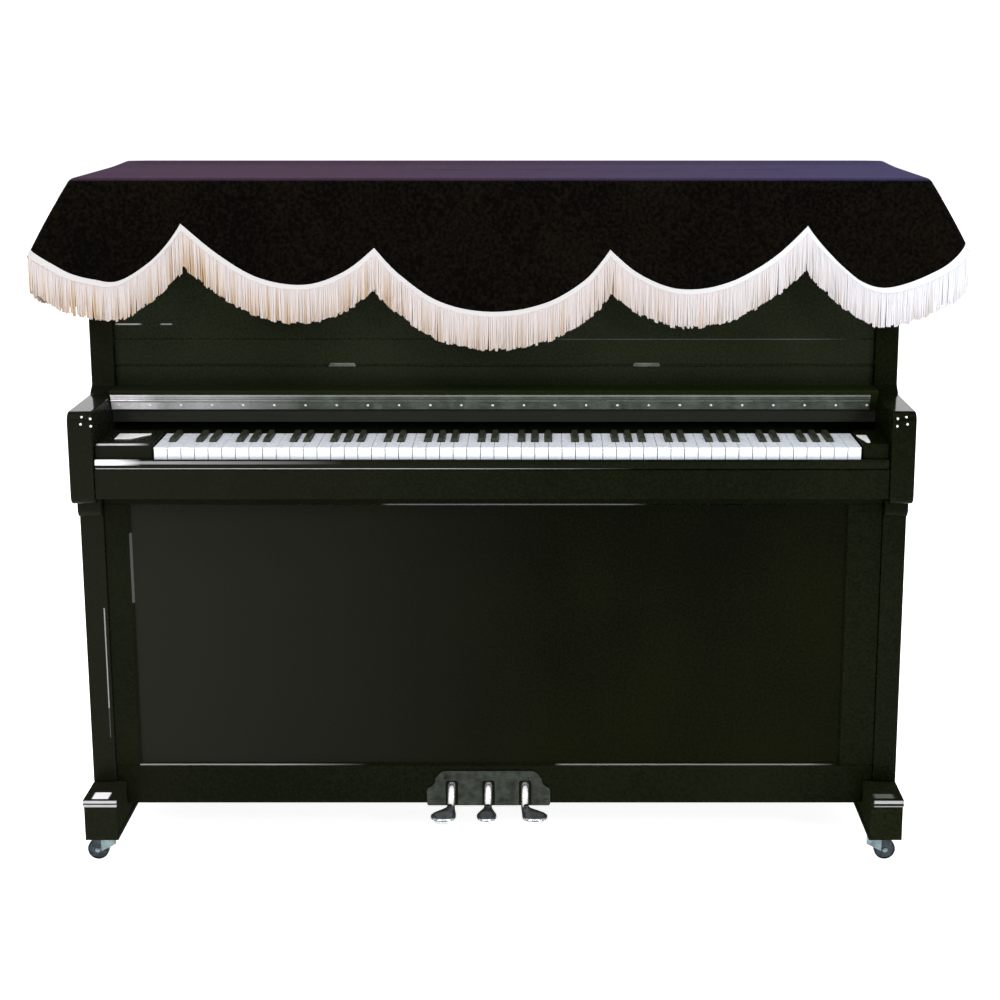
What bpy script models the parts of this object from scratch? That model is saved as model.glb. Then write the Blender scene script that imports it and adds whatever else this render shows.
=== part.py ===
"""A fringed velvet cover for a piano's top, lying on a plain upright piano.

Metres, +Z up, +X to the player's right, -Y towards the player. The rim of the cover is one
closed line, and a place on it is given by its distance s from the middle of the front edge,
positive to the right. A place on the hanging cloth is (s, h), with h its drop below the top.
"""

import math
import random
from collections import namedtuple

import bmesh
import bpy
from mathutils import Matrix, Vector

# The clearances between pieces
TOUCH_GAP = 0.0003
EDGE_GAP = 0.002
HEM_GAP = 0.0014

# The piano's main masses
PIANO_TOP = 1.224
LID_WIDTH = 1.511
LID_DEPTH = 0.421
LID_THICK = 0.028
LID_ROUND = 0.006
LID_CENTRE = 0.013
CASE_WIDTH = 1.475
CASE_BACK = 0.190
SIDE_THICK = 0.042
UPPER_FRONT = -0.162
ARM_FRONT = -0.344
ARM_TOP = 0.833
ARM_UNDER = 0.667
ARM_ROUND = 0.016
SHOULDER_TOP = 0.850
SHOULDER_STEP = 0.014
SHOULDER_RUN = 0.030
SHOULDER_SILL = 0.002
KNEE_STEP = 0.014
KNEE_DROP = 0.022
KNEE_FOOT = 0.034
LOWER_FRONT = -0.290
TOE_FRONT = -0.372
TOE_TOP = 0.128
TOE_UNDER = 0.050
TOE_WIDTH = 0.060
BOARD_UNDER = 0.085
PANEL_TOP = 0.655
PANEL_FOOT = 0.159
PANEL_WIDTH = 1.278
PANEL_CENTRE = -0.003
PANEL_RECESS = 0.006
PANEL_THICK = 0.022
PANEL_BACK = 0.004
UPPER_PANEL_FRONT = -0.150
BACK_THICK = 0.022
BOARD_THICK = 0.020
BOARD_BACK = 0.028
EASED_EDGE = 0.002
KEYBED_BACK = -0.100
KEYBED_UNDER = 0.677
KEYBED_TOP = 0.7305
SLIP_TOP = 0.748
SLIP_BACK = 0.004
SLIP_CLEAR = 0.0008
FALL_BACK = -0.160
FALL_CLEAR = 0.004
FALL_FACE = (-0.186, -0.190)
FALL_LIP = (-0.196, 0.808)
FALL_NOSE = (-0.209, 0.842)
FALL_NOSE_ROUND = 0.003
FALL_TOP = 0.846

# The keyboard
WHITE_KEYS = 52
WHITE_PITCH = 0.0238
WHITE_TOP = 0.768
KEY_FRONT = -0.3305
KEY_BACK = -0.215
KEY_CENTRE = 0.027
KEY_NOTCH = 0.0012
KEY_NOTCH_DEEP = 0.018
BLACK_WIDTH = 0.0125
BLACK_RISE = 0.011
BLACK_FRONT = -0.280
BLACK_BACK = -0.222
BLACK_BAR = 0.006
BLACK_TAPER = 0.001
BLOCK_RISE = 0.0065
BLOCK_CLEAR = 0.003
BLACK_AFTER = (True, False, True, True, False, True, True)

# The pedals and casters
PLATE_THICK = 0.003
PLATE_LIFT = -0.004
HALF_PLATE = ((0.1125, 0.0), (0.1125, 0.034), (0.102, 0.042), (0.098, 0.052), (0.084, 0.068))
PEDAL_DROP = 0.046
PEDAL_TOP = 0.125
PEDAL_CENTRE = -0.0114
PEDAL_PITCH = 0.0675
PEDAL_FRONT = -0.362
PEDAL_THICK = 0.007
PEDAL_ROOT = 0.006
PEDAL_NECK = 0.0075
PEDAL_NECK_AT = 0.45
PEDAL_CLEAR = 0.0022
PAD_LENGTH = 0.80
Pedal = namedtuple("Pedal", "name place lean pad")
PEDALS = (
    Pedal("left", -1, -0.013, 0.0235),
    Pedal("middle", 0, -0.002, 0.018),
    Pedal("right", 1, 0.018, 0.0235),
)
WHEEL_RADIUS = 0.0195
WHEEL_WIDTH = 0.014
WHEEL_SIDES = 16
FORK_WIDTH = 0.018
FORK_FOOT = 0.015
FORK_CHEEK = 0.0025
FORK_CLEAR = 0.0010
CASTER_LEFT = -0.722
CASTER_RIGHT = 0.712
CASTER_FRONT = -0.335
CASTER_BACK = 0.150

# The cover
CLOTH_THICK = 0.002
RIM_X = LID_WIDTH / 2 + EDGE_GAP + CLOTH_THICK
RIM_Y = LID_DEPTH / 2 + EDGE_GAP + CLOTH_THICK
RIM_CORNER = 0.012
COVER_TOP = PIANO_TOP + TOUCH_GAP + CLOTH_THICK
EDGE_PUFF = 0.0017
EDGE_ROUND = 0.009
EDGE_STEPS = 3
FLAT_MARGIN = 0.045
BACK_DROP = 0.085
BACK_CORNER_DROP = 0.104
BACK_BLEND = 0.050
STATION_STEP = 0.024
EAR_STEP = 0.011
DROP_STEPS = 6
FACE_STEP = 0.004
FRINGE_BAND = 0.012
FRINGE_DROP = 0.069
FRINGE_TURN = 0.018
STRAND_PITCH = 0.0125
STRAND_WIDTH = 0.0085
STRAND_TIP = 0.65
STRAND_UNEVEN = 0.0025
STRAND_SWAY = 0.0015
TIP_THICK = 0.8
FRINGE_THICK = 0.0022
FRINGE_SEED = 7
FINE_STEPS = 200

RIM_FRONT = RIM_X - RIM_CORNER
RIM_SIDE = RIM_Y - RIM_CORNER
RIM_ARC = RIM_CORNER * math.pi / 2
CORNER_FRONT = RIM_FRONT + RIM_ARC / 2
CORNER_BACK = CORNER_FRONT + 2 * RIM_SIDE + RIM_ARC
RIM_LENGTH = 4 * (RIM_FRONT + RIM_SIDE + RIM_ARC)

# The hem: a row for each scallop, as (s, drop) points from one peak to the next.
SCALLOPS = (
    ((-CORNER_BACK, 0.105), (-0.945, 0.176), (-CORNER_FRONT, 0.1190)),
    (
        *((-CORNER_FRONT, 0.1190), (-0.715, 0.1426), (-0.685, 0.1603), (-0.655, 0.1711)),
        *((-0.625, 0.1749), (-0.600, 0.1461), (-0.580, 0.1053), (-0.566, 0.0788)),
    ),
    (
        *((-0.566, 0.0788), (-0.500, 0.1323), (-0.430, 0.1726)),
        *((-0.350, 0.1873), (-0.280, 0.1650), (-0.224, 0.1222)),
    ),
    (
        *((-0.224, 0.1222), (-0.180, 0.1691), (-0.110, 0.2160), (-0.020, 0.2349)),
        *((0.070, 0.2233), (0.150, 0.1791), (0.1955, 0.1253)),
    ),
    (
        *((0.1955, 0.1253), (0.250, 0.1700), (0.320, 0.1947)),
        *((0.400, 0.1838), (0.480, 0.1423), (0.545, 0.0831)),
    ),
    (
        *((0.545, 0.0831), (0.575, 0.1263), (0.590, 0.1526), (0.605, 0.1770), (0.625, 0.1868)),
        *((0.655, 0.1786), (0.690, 0.1599), (0.720, 0.1403), (CORNER_FRONT, 0.1080)),
    ),
    ((CORNER_FRONT, 0.1080), (0.960, 0.180), (CORNER_BACK, 0.103)),
)
PEAKS = [points[0][0] for points in SCALLOPS] + [CORNER_BACK]

# The ears: at each corner the spare cloth stands out along the diagonal, further the lower it is.
Ear = namedtuple("Ear", "s flare spread")
EARS = (
    Ear(-CORNER_BACK, 0.23, 0.60),
    Ear(-CORNER_FRONT, 0.80, 0.82),
    Ear(CORNER_FRONT, 0.815, 0.74),
    Ear(CORNER_BACK, 0.23, 0.66),
)
EAR_EASE = 1.1
EAR_NARROW = 0.022
EAR_WIDTH = 0.10

# The soft folds between them: each is a shallow wave that grows towards the hem.
Fold = namedtuple("Fold", "s reach spread")
FOLDS = (
    Fold(-0.560, -0.008, 0.040),
    Fold(-0.430, 0.009, 0.060),
    Fold(-0.215, -0.007, 0.045),
    Fold(-0.060, 0.008, 0.070),
    Fold(0.120, 0.006, 0.050),
    Fold(0.225, -0.007, 0.045),
    Fold(0.390, 0.010, 0.065),
    Fold(0.560, -0.008, 0.040),
    Fold(-0.960, 0.008, 0.050),
    Fold(0.955, 0.009, 0.055),
)
FOLD_DEPTH = 0.200
FOLD_MOST = 1.2

Finish = namedtuple("Finish", "name color roughness metallic")
VELVET = Finish("aubergine_velvet", (0.020, 0.012, 0.022, 1), 0.85, 0.0)
COTTON = Finish("cream_cotton", (0.80, 0.72, 0.66, 1), 0.80, 0.0)
LACQUER = Finish("black_lacquer", (0.008, 0.008, 0.007, 1), 0.12, 0.0)
IVORY = Finish("white_key_plastic", (0.86, 0.88, 0.90, 1), 0.25, 0.0)
EBONY = Finish("black_key_plastic", (0.012, 0.012, 0.012, 1), 0.35, 0.0)
CHROME = Finish("polished_metal", (0.75, 0.76, 0.78, 1), 0.15, 1.0)
IRON = Finish("dark_metal", (0.10, 0.11, 0.10, 1), 0.40, 1.0)


# ---- the scene and its helpers -------------------------------------------------------------


def clear_scene():
    for obj in list(bpy.data.objects):
        bpy.data.objects.remove(obj, do_unlink=True)


def new_collection(name):
    found = bpy.data.collections.new(name)
    bpy.context.scene.collection.children.link(found)
    return found


def material(finish):
    found = bpy.data.materials.get(finish.name)
    if found:
        return found
    made = bpy.data.materials.new(finish.name)
    made.use_nodes = True
    shader = made.node_tree.nodes["Principled BSDF"]
    shader.inputs["Base Color"].default_value = finish.color
    shader.inputs["Roughness"].default_value = finish.roughness
    shader.inputs["Metallic"].default_value = finish.metallic
    return made


def place(obj, finish):
    """Puts an object in the model's collection, under the root, with its finish."""
    for collection in list(obj.users_collection):
        collection.objects.unlink(obj)
    PARTS.objects.link(obj)
    obj.parent = ROOT
    obj.data.materials.append(material(finish))
    return obj


def cube(name, size, centre):
    bpy.ops.mesh.primitive_cube_add(size=1, location=centre)
    made = bpy.context.object
    made.name = name
    made.scale = size
    bpy.ops.object.transform_apply(location=False, rotation=False, scale=True)
    return made


def board(name, x, y, z, finish, edge=0.0):
    """A box from its (low, high) pairs, with its edges eased by `edge`."""
    size = [high - low for low, high in (x, y, z)]
    centre = [(high + low) / 2 for low, high in (x, y, z)]
    made = place(cube(name, size, centre), finish)
    if edge:
        easing = made.modifiers.new("eased edges", "BEVEL")
        easing.width = edge
        easing.segments = 1
    return made


def cut(obj, cutter):
    """Takes the cutter out of the object."""
    for collection in list(cutter.users_collection):
        collection.objects.unlink(cutter)
    CUTTERS.objects.link(cutter)
    cutter.parent = ROOT
    cutter.hide_render = True
    cutter.display_type = "WIRE"
    boolean = obj.modifiers.new("cut " + cutter.name, "BOOLEAN")
    boolean.operation = "DIFFERENCE"
    boolean.object = cutter
    boolean.solver = "EXACT"


def flat_outline(name, points, thick, location, rotation, finish):
    """A flat piece: a closed 2D outline, `thick` across, about its own location."""
    curve = bpy.data.curves.new(name, "CURVE")
    curve.dimensions = "2D"
    curve.fill_mode = "BOTH"
    curve.extrude = thick / 2
    spline = curve.splines.new("POLY")
    spline.points.add(len(points) - 1)
    for point, (u, v) in zip(spline.points, points):
        point.co = (u, v, 0, 1)
    spline.use_cyclic_u = True
    made = bpy.data.objects.new(name, curve)
    made.location = location
    made.rotation_euler = rotation
    return place(made, finish)


FACING_SIDE = (math.pi / 2, 0, math.pi / 2)
FACING_FRONT = (math.pi / 2, 0, 0)


def arc(centre, radius, start, end, steps):
    """Points of an arc, from one angle to another in degrees."""
    angles = [math.radians(start + (end - start) * i / steps) for i in range(steps + 1)]
    return [(centre[0] + radius * math.cos(a), centre[1] + radius * math.sin(a)) for a in angles]


# ---- the cover's surface -------------------------------------------------------------------


def rim(s):
    """The place on the rim at distance s, and the way out from it, both in plan."""
    turn = 1 if s >= 0 else -1
    left = abs(s)
    if left <= RIM_FRONT:
        return Vector((turn * left, -RIM_Y)), Vector((0, -1))
    left -= RIM_FRONT
    if left < RIM_ARC:
        angle = left / RIM_CORNER
        out = Vector((turn * math.sin(angle), -math.cos(angle)))
        return Vector((turn * RIM_FRONT, -RIM_SIDE)) + out * RIM_CORNER, out
    left -= RIM_ARC
    if left <= 2 * RIM_SIDE:
        return Vector((turn * RIM_X, left - RIM_SIDE)), Vector((turn, 0))
    left -= 2 * RIM_SIDE
    if left < RIM_ARC:
        angle = left / RIM_CORNER
        out = Vector((turn * math.cos(angle), math.sin(angle)))
        return Vector((turn * RIM_FRONT, RIM_SIDE)) + out * RIM_CORNER, out
    left -= RIM_ARC
    return Vector((turn * (RIM_FRONT - left), RIM_Y)), Vector((0, 1))


def bell(distance, spread):
    return math.exp(-((distance / spread) ** 2))


def hanging(s, h):
    """The outer face of the hanging cloth at (s, h), as a point."""
    at, out = rim(s)
    for ear in EARS:
        away = abs(abs(s) - abs(ear.s)) if s * ear.s > 0 else RIM_LENGTH
        reach = ear.flare * h / (1 + EAR_EASE * h)
        _, diagonal = rim(ear.s)
        at = at + diagonal * reach * bell(away, EAR_NARROW + ear.spread * h)
    growth = min(h / FOLD_DEPTH, FOLD_MOST)
    for fold in FOLDS:
        at = at + out * fold.reach * growth * bell(s - fold.s, fold.spread)
    return Vector((LID_CENTRE + at.x, at.y, COVER_TOP - h))


def outward(s, h):
    """The way out of the hanging cloth at (s, h), square to its face."""
    along = hanging(s + FACE_STEP, h) - hanging(s - FACE_STEP, h)
    down = hanging(s, h + FACE_STEP) - hanging(s, h - FACE_STEP)
    return down.cross(along).normalized()


def level_outward(s, h):
    out = outward(s, h)
    return Vector((out.x, out.y, 0)).normalized()


def smooth_curve(points, at):
    """The height at a place on the smooth curve through (place, height) points."""
    slopes = [(v - u) / (q - p) for (p, u), (q, v) in zip(points, points[2:])]
    first, last = [
        1.5 * (v - u) / (q - p) - 0.5 * slope
        for (p, u), (q, v), slope in (
            (points[0], points[1], slopes[0]),
            (points[-2], points[-1], slopes[-1]),
        )
    ]
    slopes = [first, *slopes, last]
    i = max(j for j in range(len(points) - 1) if j == 0 or points[j][0] <= at)
    (start, low), (end, high) = points[i : i + 2]
    run = end - start
    share = (at - start) / run
    from_start = low * (1 + 2 * share) + run * slopes[i] * share
    from_end = high * (3 - 2 * share) - run * slopes[i + 1] * (1 - share)
    return from_start * (1 - share) ** 2 + from_end * share**2


def hem_drop(s):
    """How far the hem hangs below the top at s."""
    if abs(s) >= CORNER_BACK:
        blend = min((abs(s) - CORNER_BACK) / BACK_BLEND, 1.0)
        return BACK_CORNER_DROP + (BACK_DROP - BACK_CORNER_DROP) * blend
    for points in SCALLOPS:
        if points[0][0] <= s <= points[-1][0]:
            return smooth_curve(points, s)
    raise ValueError(f"no hem at {s}")


def steps_between(start, end, step):
    """Even stations from start up to, but not at, end."""
    count = max(1, math.ceil((end - start) / step))
    return [start + (end - start) * i / count for i in range(count)]


def stations():
    """The columns of the cover, all the way round from the middle of the back."""
    half_back = RIM_LENGTH / 2
    marks = [-half_back]
    marks += PEAKS
    marks += [half_back]
    for ear in EARS:
        marks += [ear.s - EAR_WIDTH, ear.s + EAR_WIDTH]
        marks += [ear.s - RIM_ARC / 2, ear.s + RIM_ARC / 2]
    marks = sorted(set(round(mark, 6) for mark in marks))
    found = []
    for start, end in zip(marks, marks[1:]):
        middle = (start + end) / 2
        near_ear = min(abs(middle - ear.s) for ear in EARS) < EAR_WIDTH
        found += steps_between(start, end, EAR_STEP if near_ear else STATION_STEP)
    return found


def cover_column(s):
    """One column of the cover, from the flat top over the edge and down to the hem."""
    at, out = rim(s)
    shrink_x = 1 - FLAT_MARGIN / RIM_X
    shrink_y = 1 - FLAT_MARGIN / RIM_Y
    column = [Vector((LID_CENTRE + at.x * shrink_x, at.y * shrink_y, COVER_TOP))]
    for i in range(EDGE_STEPS):
        angle = math.pi / 2 * i / EDGE_STEPS
        inset = EDGE_ROUND * (1 - math.sin(angle))
        point = hanging(s, EDGE_ROUND * (1 - math.cos(angle)))
        column.append(point + Vector((-out.x * inset, -out.y * inset, EDGE_PUFF)))
    bottom = hem_drop(s)
    for i in range(DROP_STEPS + 1):
        column.append(hanging(s, EDGE_ROUND + (bottom - EDGE_ROUND) * i / DROP_STEPS))
    return column


def make_cover():
    columns = [cover_column(s) for s in stations()]
    mesh = bmesh.new()
    rows = [[mesh.verts.new(point) for point in column] for column in columns]
    for i, row in enumerate(rows):
        following = rows[(i + 1) % len(rows)]
        for j in range(len(row) - 1):
            mesh.faces.new((row[j], row[j + 1], following[j + 1], following[j]))
    mesh.faces.new([row[0] for row in rows])
    bmesh.ops.recalc_face_normals(mesh, faces=mesh.faces)
    data = bpy.data.meshes.new("cover_cloth")
    mesh.to_mesh(data)
    mesh.free()
    data.shade_smooth()
    made = place(bpy.data.objects.new("cover_cloth", data), VELVET)
    sheet = made.modifiers.new("cloth thickness", "SOLIDIFY")
    sheet.thickness = CLOTH_THICK
    sheet.offset = -1


# ---- the fringe ----------------------------------------------------------------------------


def hem_lean(s):
    """How steeply the hem runs at s, as its fall over its run in plan."""
    lower_left = hem_drop(s - FACE_STEP) > hem_drop(s + FACE_STEP)
    near = s - FACE_STEP if lower_left else s + FACE_STEP
    gone = hanging(near, hem_drop(near)) - hanging(s, hem_drop(s))
    return abs(gone.z) / math.hypot(gone.x, gone.y)


def fringe_bottom(s, rng):
    """The drop of the strand at s. Its heading lies square to the hem, so a slope lowers it."""
    turned = FRINGE_TURN * (math.hypot(1, hem_lean(s)) - 1)
    return hem_drop(s) + FRINGE_DROP + turned + rng.uniform(-STRAND_UNEVEN, STRAND_UNEVEN)


def strand_tip(s, rng):
    """The corners of the tip of the strand at s: outer left, outer right, then the inner two."""
    band_foot = hem_drop(s) + FRINGE_BAND
    centre = hanging(s, band_foot)
    out = level_outward(s, band_foot)
    along = Vector((-out.y, out.x, 0))
    sway = along * rng.uniform(-STRAND_SWAY, STRAND_SWAY)
    foot = COVER_TOP - fringe_bottom(s, rng)
    middle = Vector((centre.x, centre.y, foot)) - out * FRINGE_THICK / 2 + sway
    half_along = along * STRAND_WIDTH * STRAND_TIP / 2
    half_out = out * FRINGE_THICK * TIP_THICK / 2
    return (
        middle - half_along + half_out,
        middle + half_along + half_out,
        middle - half_along - half_out,
        middle + half_along - half_out,
    )


def band_pair(s, h):
    """The outer and inner points of the fringe's band at (s, h)."""
    outer = hanging(s, h)
    return outer, outer - outward(s, h) * FRINGE_THICK


def even_places(start, end):
    """Both edges of each strand from start to end, evenly spaced along the hem as it hangs."""
    fine = [start + (end - start) * i / FINE_STEPS for i in range(FINE_STEPS + 1)]
    run = [0.0]
    for before, after in zip(fine, fine[1:]):
        gone = hanging(after, hem_drop(after)) - hanging(before, hem_drop(before))
        run.append(run[-1] + math.hypot(gone.x, gone.y))
    count = round(run[-1] / STRAND_PITCH)
    pitch = run[-1] / count
    found = []
    at = 0
    for i in range(2 * count):
        wanted = pitch * (i // 2 + 0.5) + (i % 2 - 0.5) * STRAND_WIDTH
        while run[at + 1] < wanted:
            at += 1
        share = (wanted - run[at]) / (run[at + 1] - run[at])
        found.append(fine[at] + share * (fine[at + 1] - fine[at]))
    return found


def make_fringe(name, start, end, rng):
    """A band along the hem from start to end, with its strands grown from its lower edge."""
    places = even_places(start + TOUCH_GAP, end - TOUCH_GAP)
    mesh = bmesh.new()
    rings = []
    for s in places:
        top = band_pair(s, hem_drop(s) + HEM_GAP)
        foot = band_pair(s, hem_drop(s) + FRINGE_BAND)
        rings.append([mesh.verts.new(point) for point in (*top, *foot)])
    for i, (left, right) in enumerate(zip(rings, rings[1:])):
        mesh.faces.new((left[0], left[2], right[2], right[0]))
        mesh.faces.new((left[1], right[1], right[3], left[3]))
        mesh.faces.new((left[0], right[0], right[1], left[1]))
        if i % 2:
            mesh.faces.new((left[2], left[3], right[3], right[2]))
            continue
        tips = [mesh.verts.new(p) for p in strand_tip((places[i] + places[i + 1]) / 2, rng)]
        outer_left, outer_right, inner_left, inner_right = tips
        mesh.faces.new((left[2], outer_left, outer_right, right[2]))
        mesh.faces.new((left[3], right[3], inner_right, inner_left))
        mesh.faces.new((left[2], left[3], inner_left, outer_left))
        mesh.faces.new((right[2], outer_right, inner_right, right[3]))
        mesh.faces.new((outer_left, inner_left, inner_right, outer_right))
    first, last = rings[0], rings[-1]
    mesh.faces.new((first[0], first[1], first[3], first[2]))
    mesh.faces.new((last[0], last[2], last[3], last[1]))
    bmesh.ops.recalc_face_normals(mesh, faces=mesh.faces)
    data = bpy.data.meshes.new(name)
    mesh.to_mesh(data)
    mesh.free()
    place(bpy.data.objects.new(name, data), COTTON)


def make_fringes():
    rng = random.Random(FRINGE_SEED)
    names = ["left"] + [f"front_{i}" for i in range(1, len(PEAKS) - 2)] + ["right"]
    for name, start, end in zip(names, PEAKS, PEAKS[1:]):
        make_fringe(f"fringe_{name}", start, end, rng)


# ---- the piano -----------------------------------------------------------------------------


def side_outline():
    """The side of the case with its arm, as (y, z) points."""
    arm_nose = (ARM_FRONT + ARM_ROUND, ARM_TOP - ARM_ROUND)
    arm_chin = (ARM_FRONT + ARM_ROUND, ARM_UNDER + ARM_ROUND)
    top = PIANO_TOP - LID_THICK - TOUCH_GAP
    return [
        (CASE_BACK, TOE_TOP + TOUCH_GAP),
        (CASE_BACK, top),
        (UPPER_FRONT, top),
        (UPPER_FRONT, SHOULDER_TOP),
        (UPPER_FRONT - SHOULDER_STEP, ARM_TOP + SHOULDER_SILL),
        (UPPER_FRONT - SHOULDER_RUN, ARM_TOP),
        *arc(arm_nose, ARM_ROUND, 90, 180, 4),
        *arc(arm_chin, ARM_ROUND, 180, 270, 3),
        (LOWER_FRONT - KNEE_STEP, ARM_UNDER),
        (LOWER_FRONT - KNEE_STEP, ARM_UNDER - KNEE_DROP),
        (LOWER_FRONT, ARM_UNDER - KNEE_FOOT),
        (LOWER_FRONT, TOE_TOP + TOUCH_GAP),
    ]


def make_sides():
    for name, side in (("left", -1), ("right", 1)):
        centre = side * (CASE_WIDTH - SIDE_THICK) / 2
        flat_outline(
            f"side_{name}", side_outline(), SIDE_THICK, (centre, 0, 0), FACING_SIDE, LACQUER
        )
        outer = side * CASE_WIDTH / 2
        toe_x = sorted((outer, outer - side * TOE_WIDTH))
        board(f"toe_{name}", toe_x, (TOE_FRONT, CASE_BACK), (TOE_UNDER, TOE_TOP), LACQUER)


def make_case():
    inner = CASE_WIDTH / 2 - SIDE_THICK - TOUCH_GAP
    toe_inner = CASE_WIDTH / 2 - TOE_WIDTH - TOUCH_GAP
    under_lid = PIANO_TOP - LID_THICK - TOUCH_GAP
    half_lid = (LID_CENTRE - LID_WIDTH / 2, LID_CENTRE + LID_WIDTH / 2)
    lid_y = (-LID_DEPTH / 2, LID_DEPTH / 2)
    lid = board("lid", half_lid, lid_y, (PIANO_TOP - LID_THICK, PIANO_TOP), LACQUER, LID_ROUND)
    lid.modifiers["eased edges"].segments = 3
    back_front = CASE_BACK - BACK_THICK
    back_z = (TOE_TOP + TOUCH_GAP, under_lid)
    board("back_board", (-inner, inner), (back_front, CASE_BACK), back_z, LACQUER)
    panel_z = (KEYBED_TOP + TOUCH_GAP, under_lid)
    panel_y = (UPPER_PANEL_FRONT, UPPER_PANEL_FRONT + PANEL_THICK)
    board("upper_panel", (-inner, inner), panel_y, panel_z, LACQUER, EASED_EDGE)
    bed_y = (ARM_FRONT + SLIP_BACK, KEYBED_BACK)
    bed_z = (KEYBED_UNDER, KEYBED_TOP)
    board("key_bed", (-inner, inner), bed_y, bed_z, LACQUER, EASED_EDGE)
    slip_z = (KEYBED_TOP + TOUCH_GAP, SLIP_TOP)
    slip_y = (ARM_FRONT + SLIP_BACK, KEY_FRONT - SLIP_CLEAR)
    board("key_slip", (-inner, inner), slip_y, slip_z, LACQUER, EASED_EDGE)
    bottom_y = (LOWER_FRONT + BOARD_BACK, back_front - TOUCH_GAP)
    bottom_z = (BOARD_UNDER, BOARD_UNDER + BOARD_THICK)
    board("bottom_board", (-toe_inner, toe_inner), bottom_y, bottom_z, LACQUER)


def make_lower_panel():
    """A framed panel: the field inside the frame is set back a little."""
    toe_inner = CASE_WIDTH / 2 - TOE_WIDTH - TOUCH_GAP
    inner = CASE_WIDTH / 2 - SIDE_THICK - TOUCH_GAP
    front = LOWER_FRONT + PANEL_BACK
    depth = (front, front + PANEL_THICK)
    panel_z = (TOE_TOP + TOUCH_GAP, KEYBED_UNDER - TOUCH_GAP)
    panel = board("lower_panel", (-inner, inner), depth, panel_z, LACQUER)
    field = cube(
        "field_cutter",
        (PANEL_WIDTH, 2 * PANEL_RECESS, PANEL_TOP - PANEL_FOOT),
        (PANEL_CENTRE, front, (PANEL_TOP + PANEL_FOOT) / 2),
    )
    cut(panel, field)
    rail_z = (BOARD_UNDER, TOE_TOP)
    board("bottom_rail", (-toe_inner, toe_inner), depth, rail_z, LACQUER, EASED_EDGE)


def make_fallboard():
    """The folded fallboard behind the keys, with its lip leaning out, as a (y, z) section."""
    inner = CASE_WIDTH / 2 - SIDE_THICK - TOUCH_GAP
    foot = WHITE_TOP + BLACK_RISE + FALL_CLEAR
    face_foot, face_top = FALL_FACE
    nose_y, nose_z = FALL_NOSE
    section = [
        (FALL_BACK, foot),
        (face_foot, foot),
        (face_top, FALL_LIP[1]),
        FALL_LIP,
        FALL_NOSE,
        *arc((nose_y + FALL_NOSE_ROUND, nose_z), FALL_NOSE_ROUND, 160, 100, 2),
        (FALL_BACK, FALL_TOP),
    ]
    flat_outline("fallboard", section, 2 * inner, (0, 0, 0), FACING_SIDE, LACQUER)


def make_key_blocks():
    inner = CASE_WIDTH / 2 - SIDE_THICK - TOUCH_GAP
    half_keys = WHITE_KEYS * WHITE_PITCH / 2 + BLOCK_CLEAR
    for name, low, high in (
        ("left", -inner, KEY_CENTRE - half_keys),
        ("right", KEY_CENTRE + half_keys, inner),
    ):
        block_z = (KEYBED_TOP + TOUCH_GAP, WHITE_TOP + BLOCK_RISE)
        block_y = (KEY_FRONT, KEY_BACK)
        board(f"key_block_{name}", (low, high), block_y, block_z, LACQUER, EASED_EDGE)


def make_white_keys():
    """The white keys side by side, fused below their notches, as an (x, z) section."""
    start = KEY_CENTRE - WHITE_KEYS * WHITE_PITCH / 2
    bottom = KEYBED_TOP + TOUCH_GAP
    points = [(start, bottom), (start, WHITE_TOP)]
    for i in range(1, WHITE_KEYS):
        edge = start + i * WHITE_PITCH
        for x, z in (
            (edge - KEY_NOTCH / 2, WHITE_TOP),
            (edge, WHITE_TOP - KEY_NOTCH_DEEP),
            (edge + KEY_NOTCH / 2, WHITE_TOP),
        ):
            points.append((x, z))
    end = start + WHITE_KEYS * WHITE_PITCH
    points += [(end, WHITE_TOP), (end, bottom)]
    middle = (KEY_FRONT + KEY_BACK) / 2
    depth = KEY_BACK - KEY_FRONT
    flat_outline("white_keys", points, depth, (0, middle, 0), FACING_FRONT, IVORY)


def black_places():
    """The middles of the black keys: the first white key is an A."""
    start = KEY_CENTRE - WHITE_KEYS * WHITE_PITCH / 2
    last = WHITE_KEYS - 1
    octave = len(BLACK_AFTER)
    return [start + (i + 1) * WHITE_PITCH for i in range(last) if BLACK_AFTER[i % octave]]


def make_black_keys():
    """The black keys, fused at their back to one bar, as an (x, y) outline."""
    bar_back = BLACK_BACK + BLACK_BAR
    half = WHITE_KEYS * WHITE_PITCH / 2
    points = [(KEY_CENTRE + half, bar_back), (KEY_CENTRE - half, bar_back)]
    points.append((KEY_CENTRE - half, BLACK_BACK))
    for x in black_places():
        left = x - BLACK_WIDTH / 2
        right = x + BLACK_WIDTH / 2
        points += [(left, BLACK_BACK), (left + BLACK_TAPER, BLACK_FRONT)]
        points += [(right - BLACK_TAPER, BLACK_FRONT), (right, BLACK_BACK)]
    points.append((KEY_CENTRE + half, BLACK_BACK))
    height = WHITE_TOP + TOUCH_GAP + BLACK_RISE / 2
    flat_outline("black_keys", points, BLACK_RISE, (0, 0, height), (0, 0, 0), EBONY)


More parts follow.
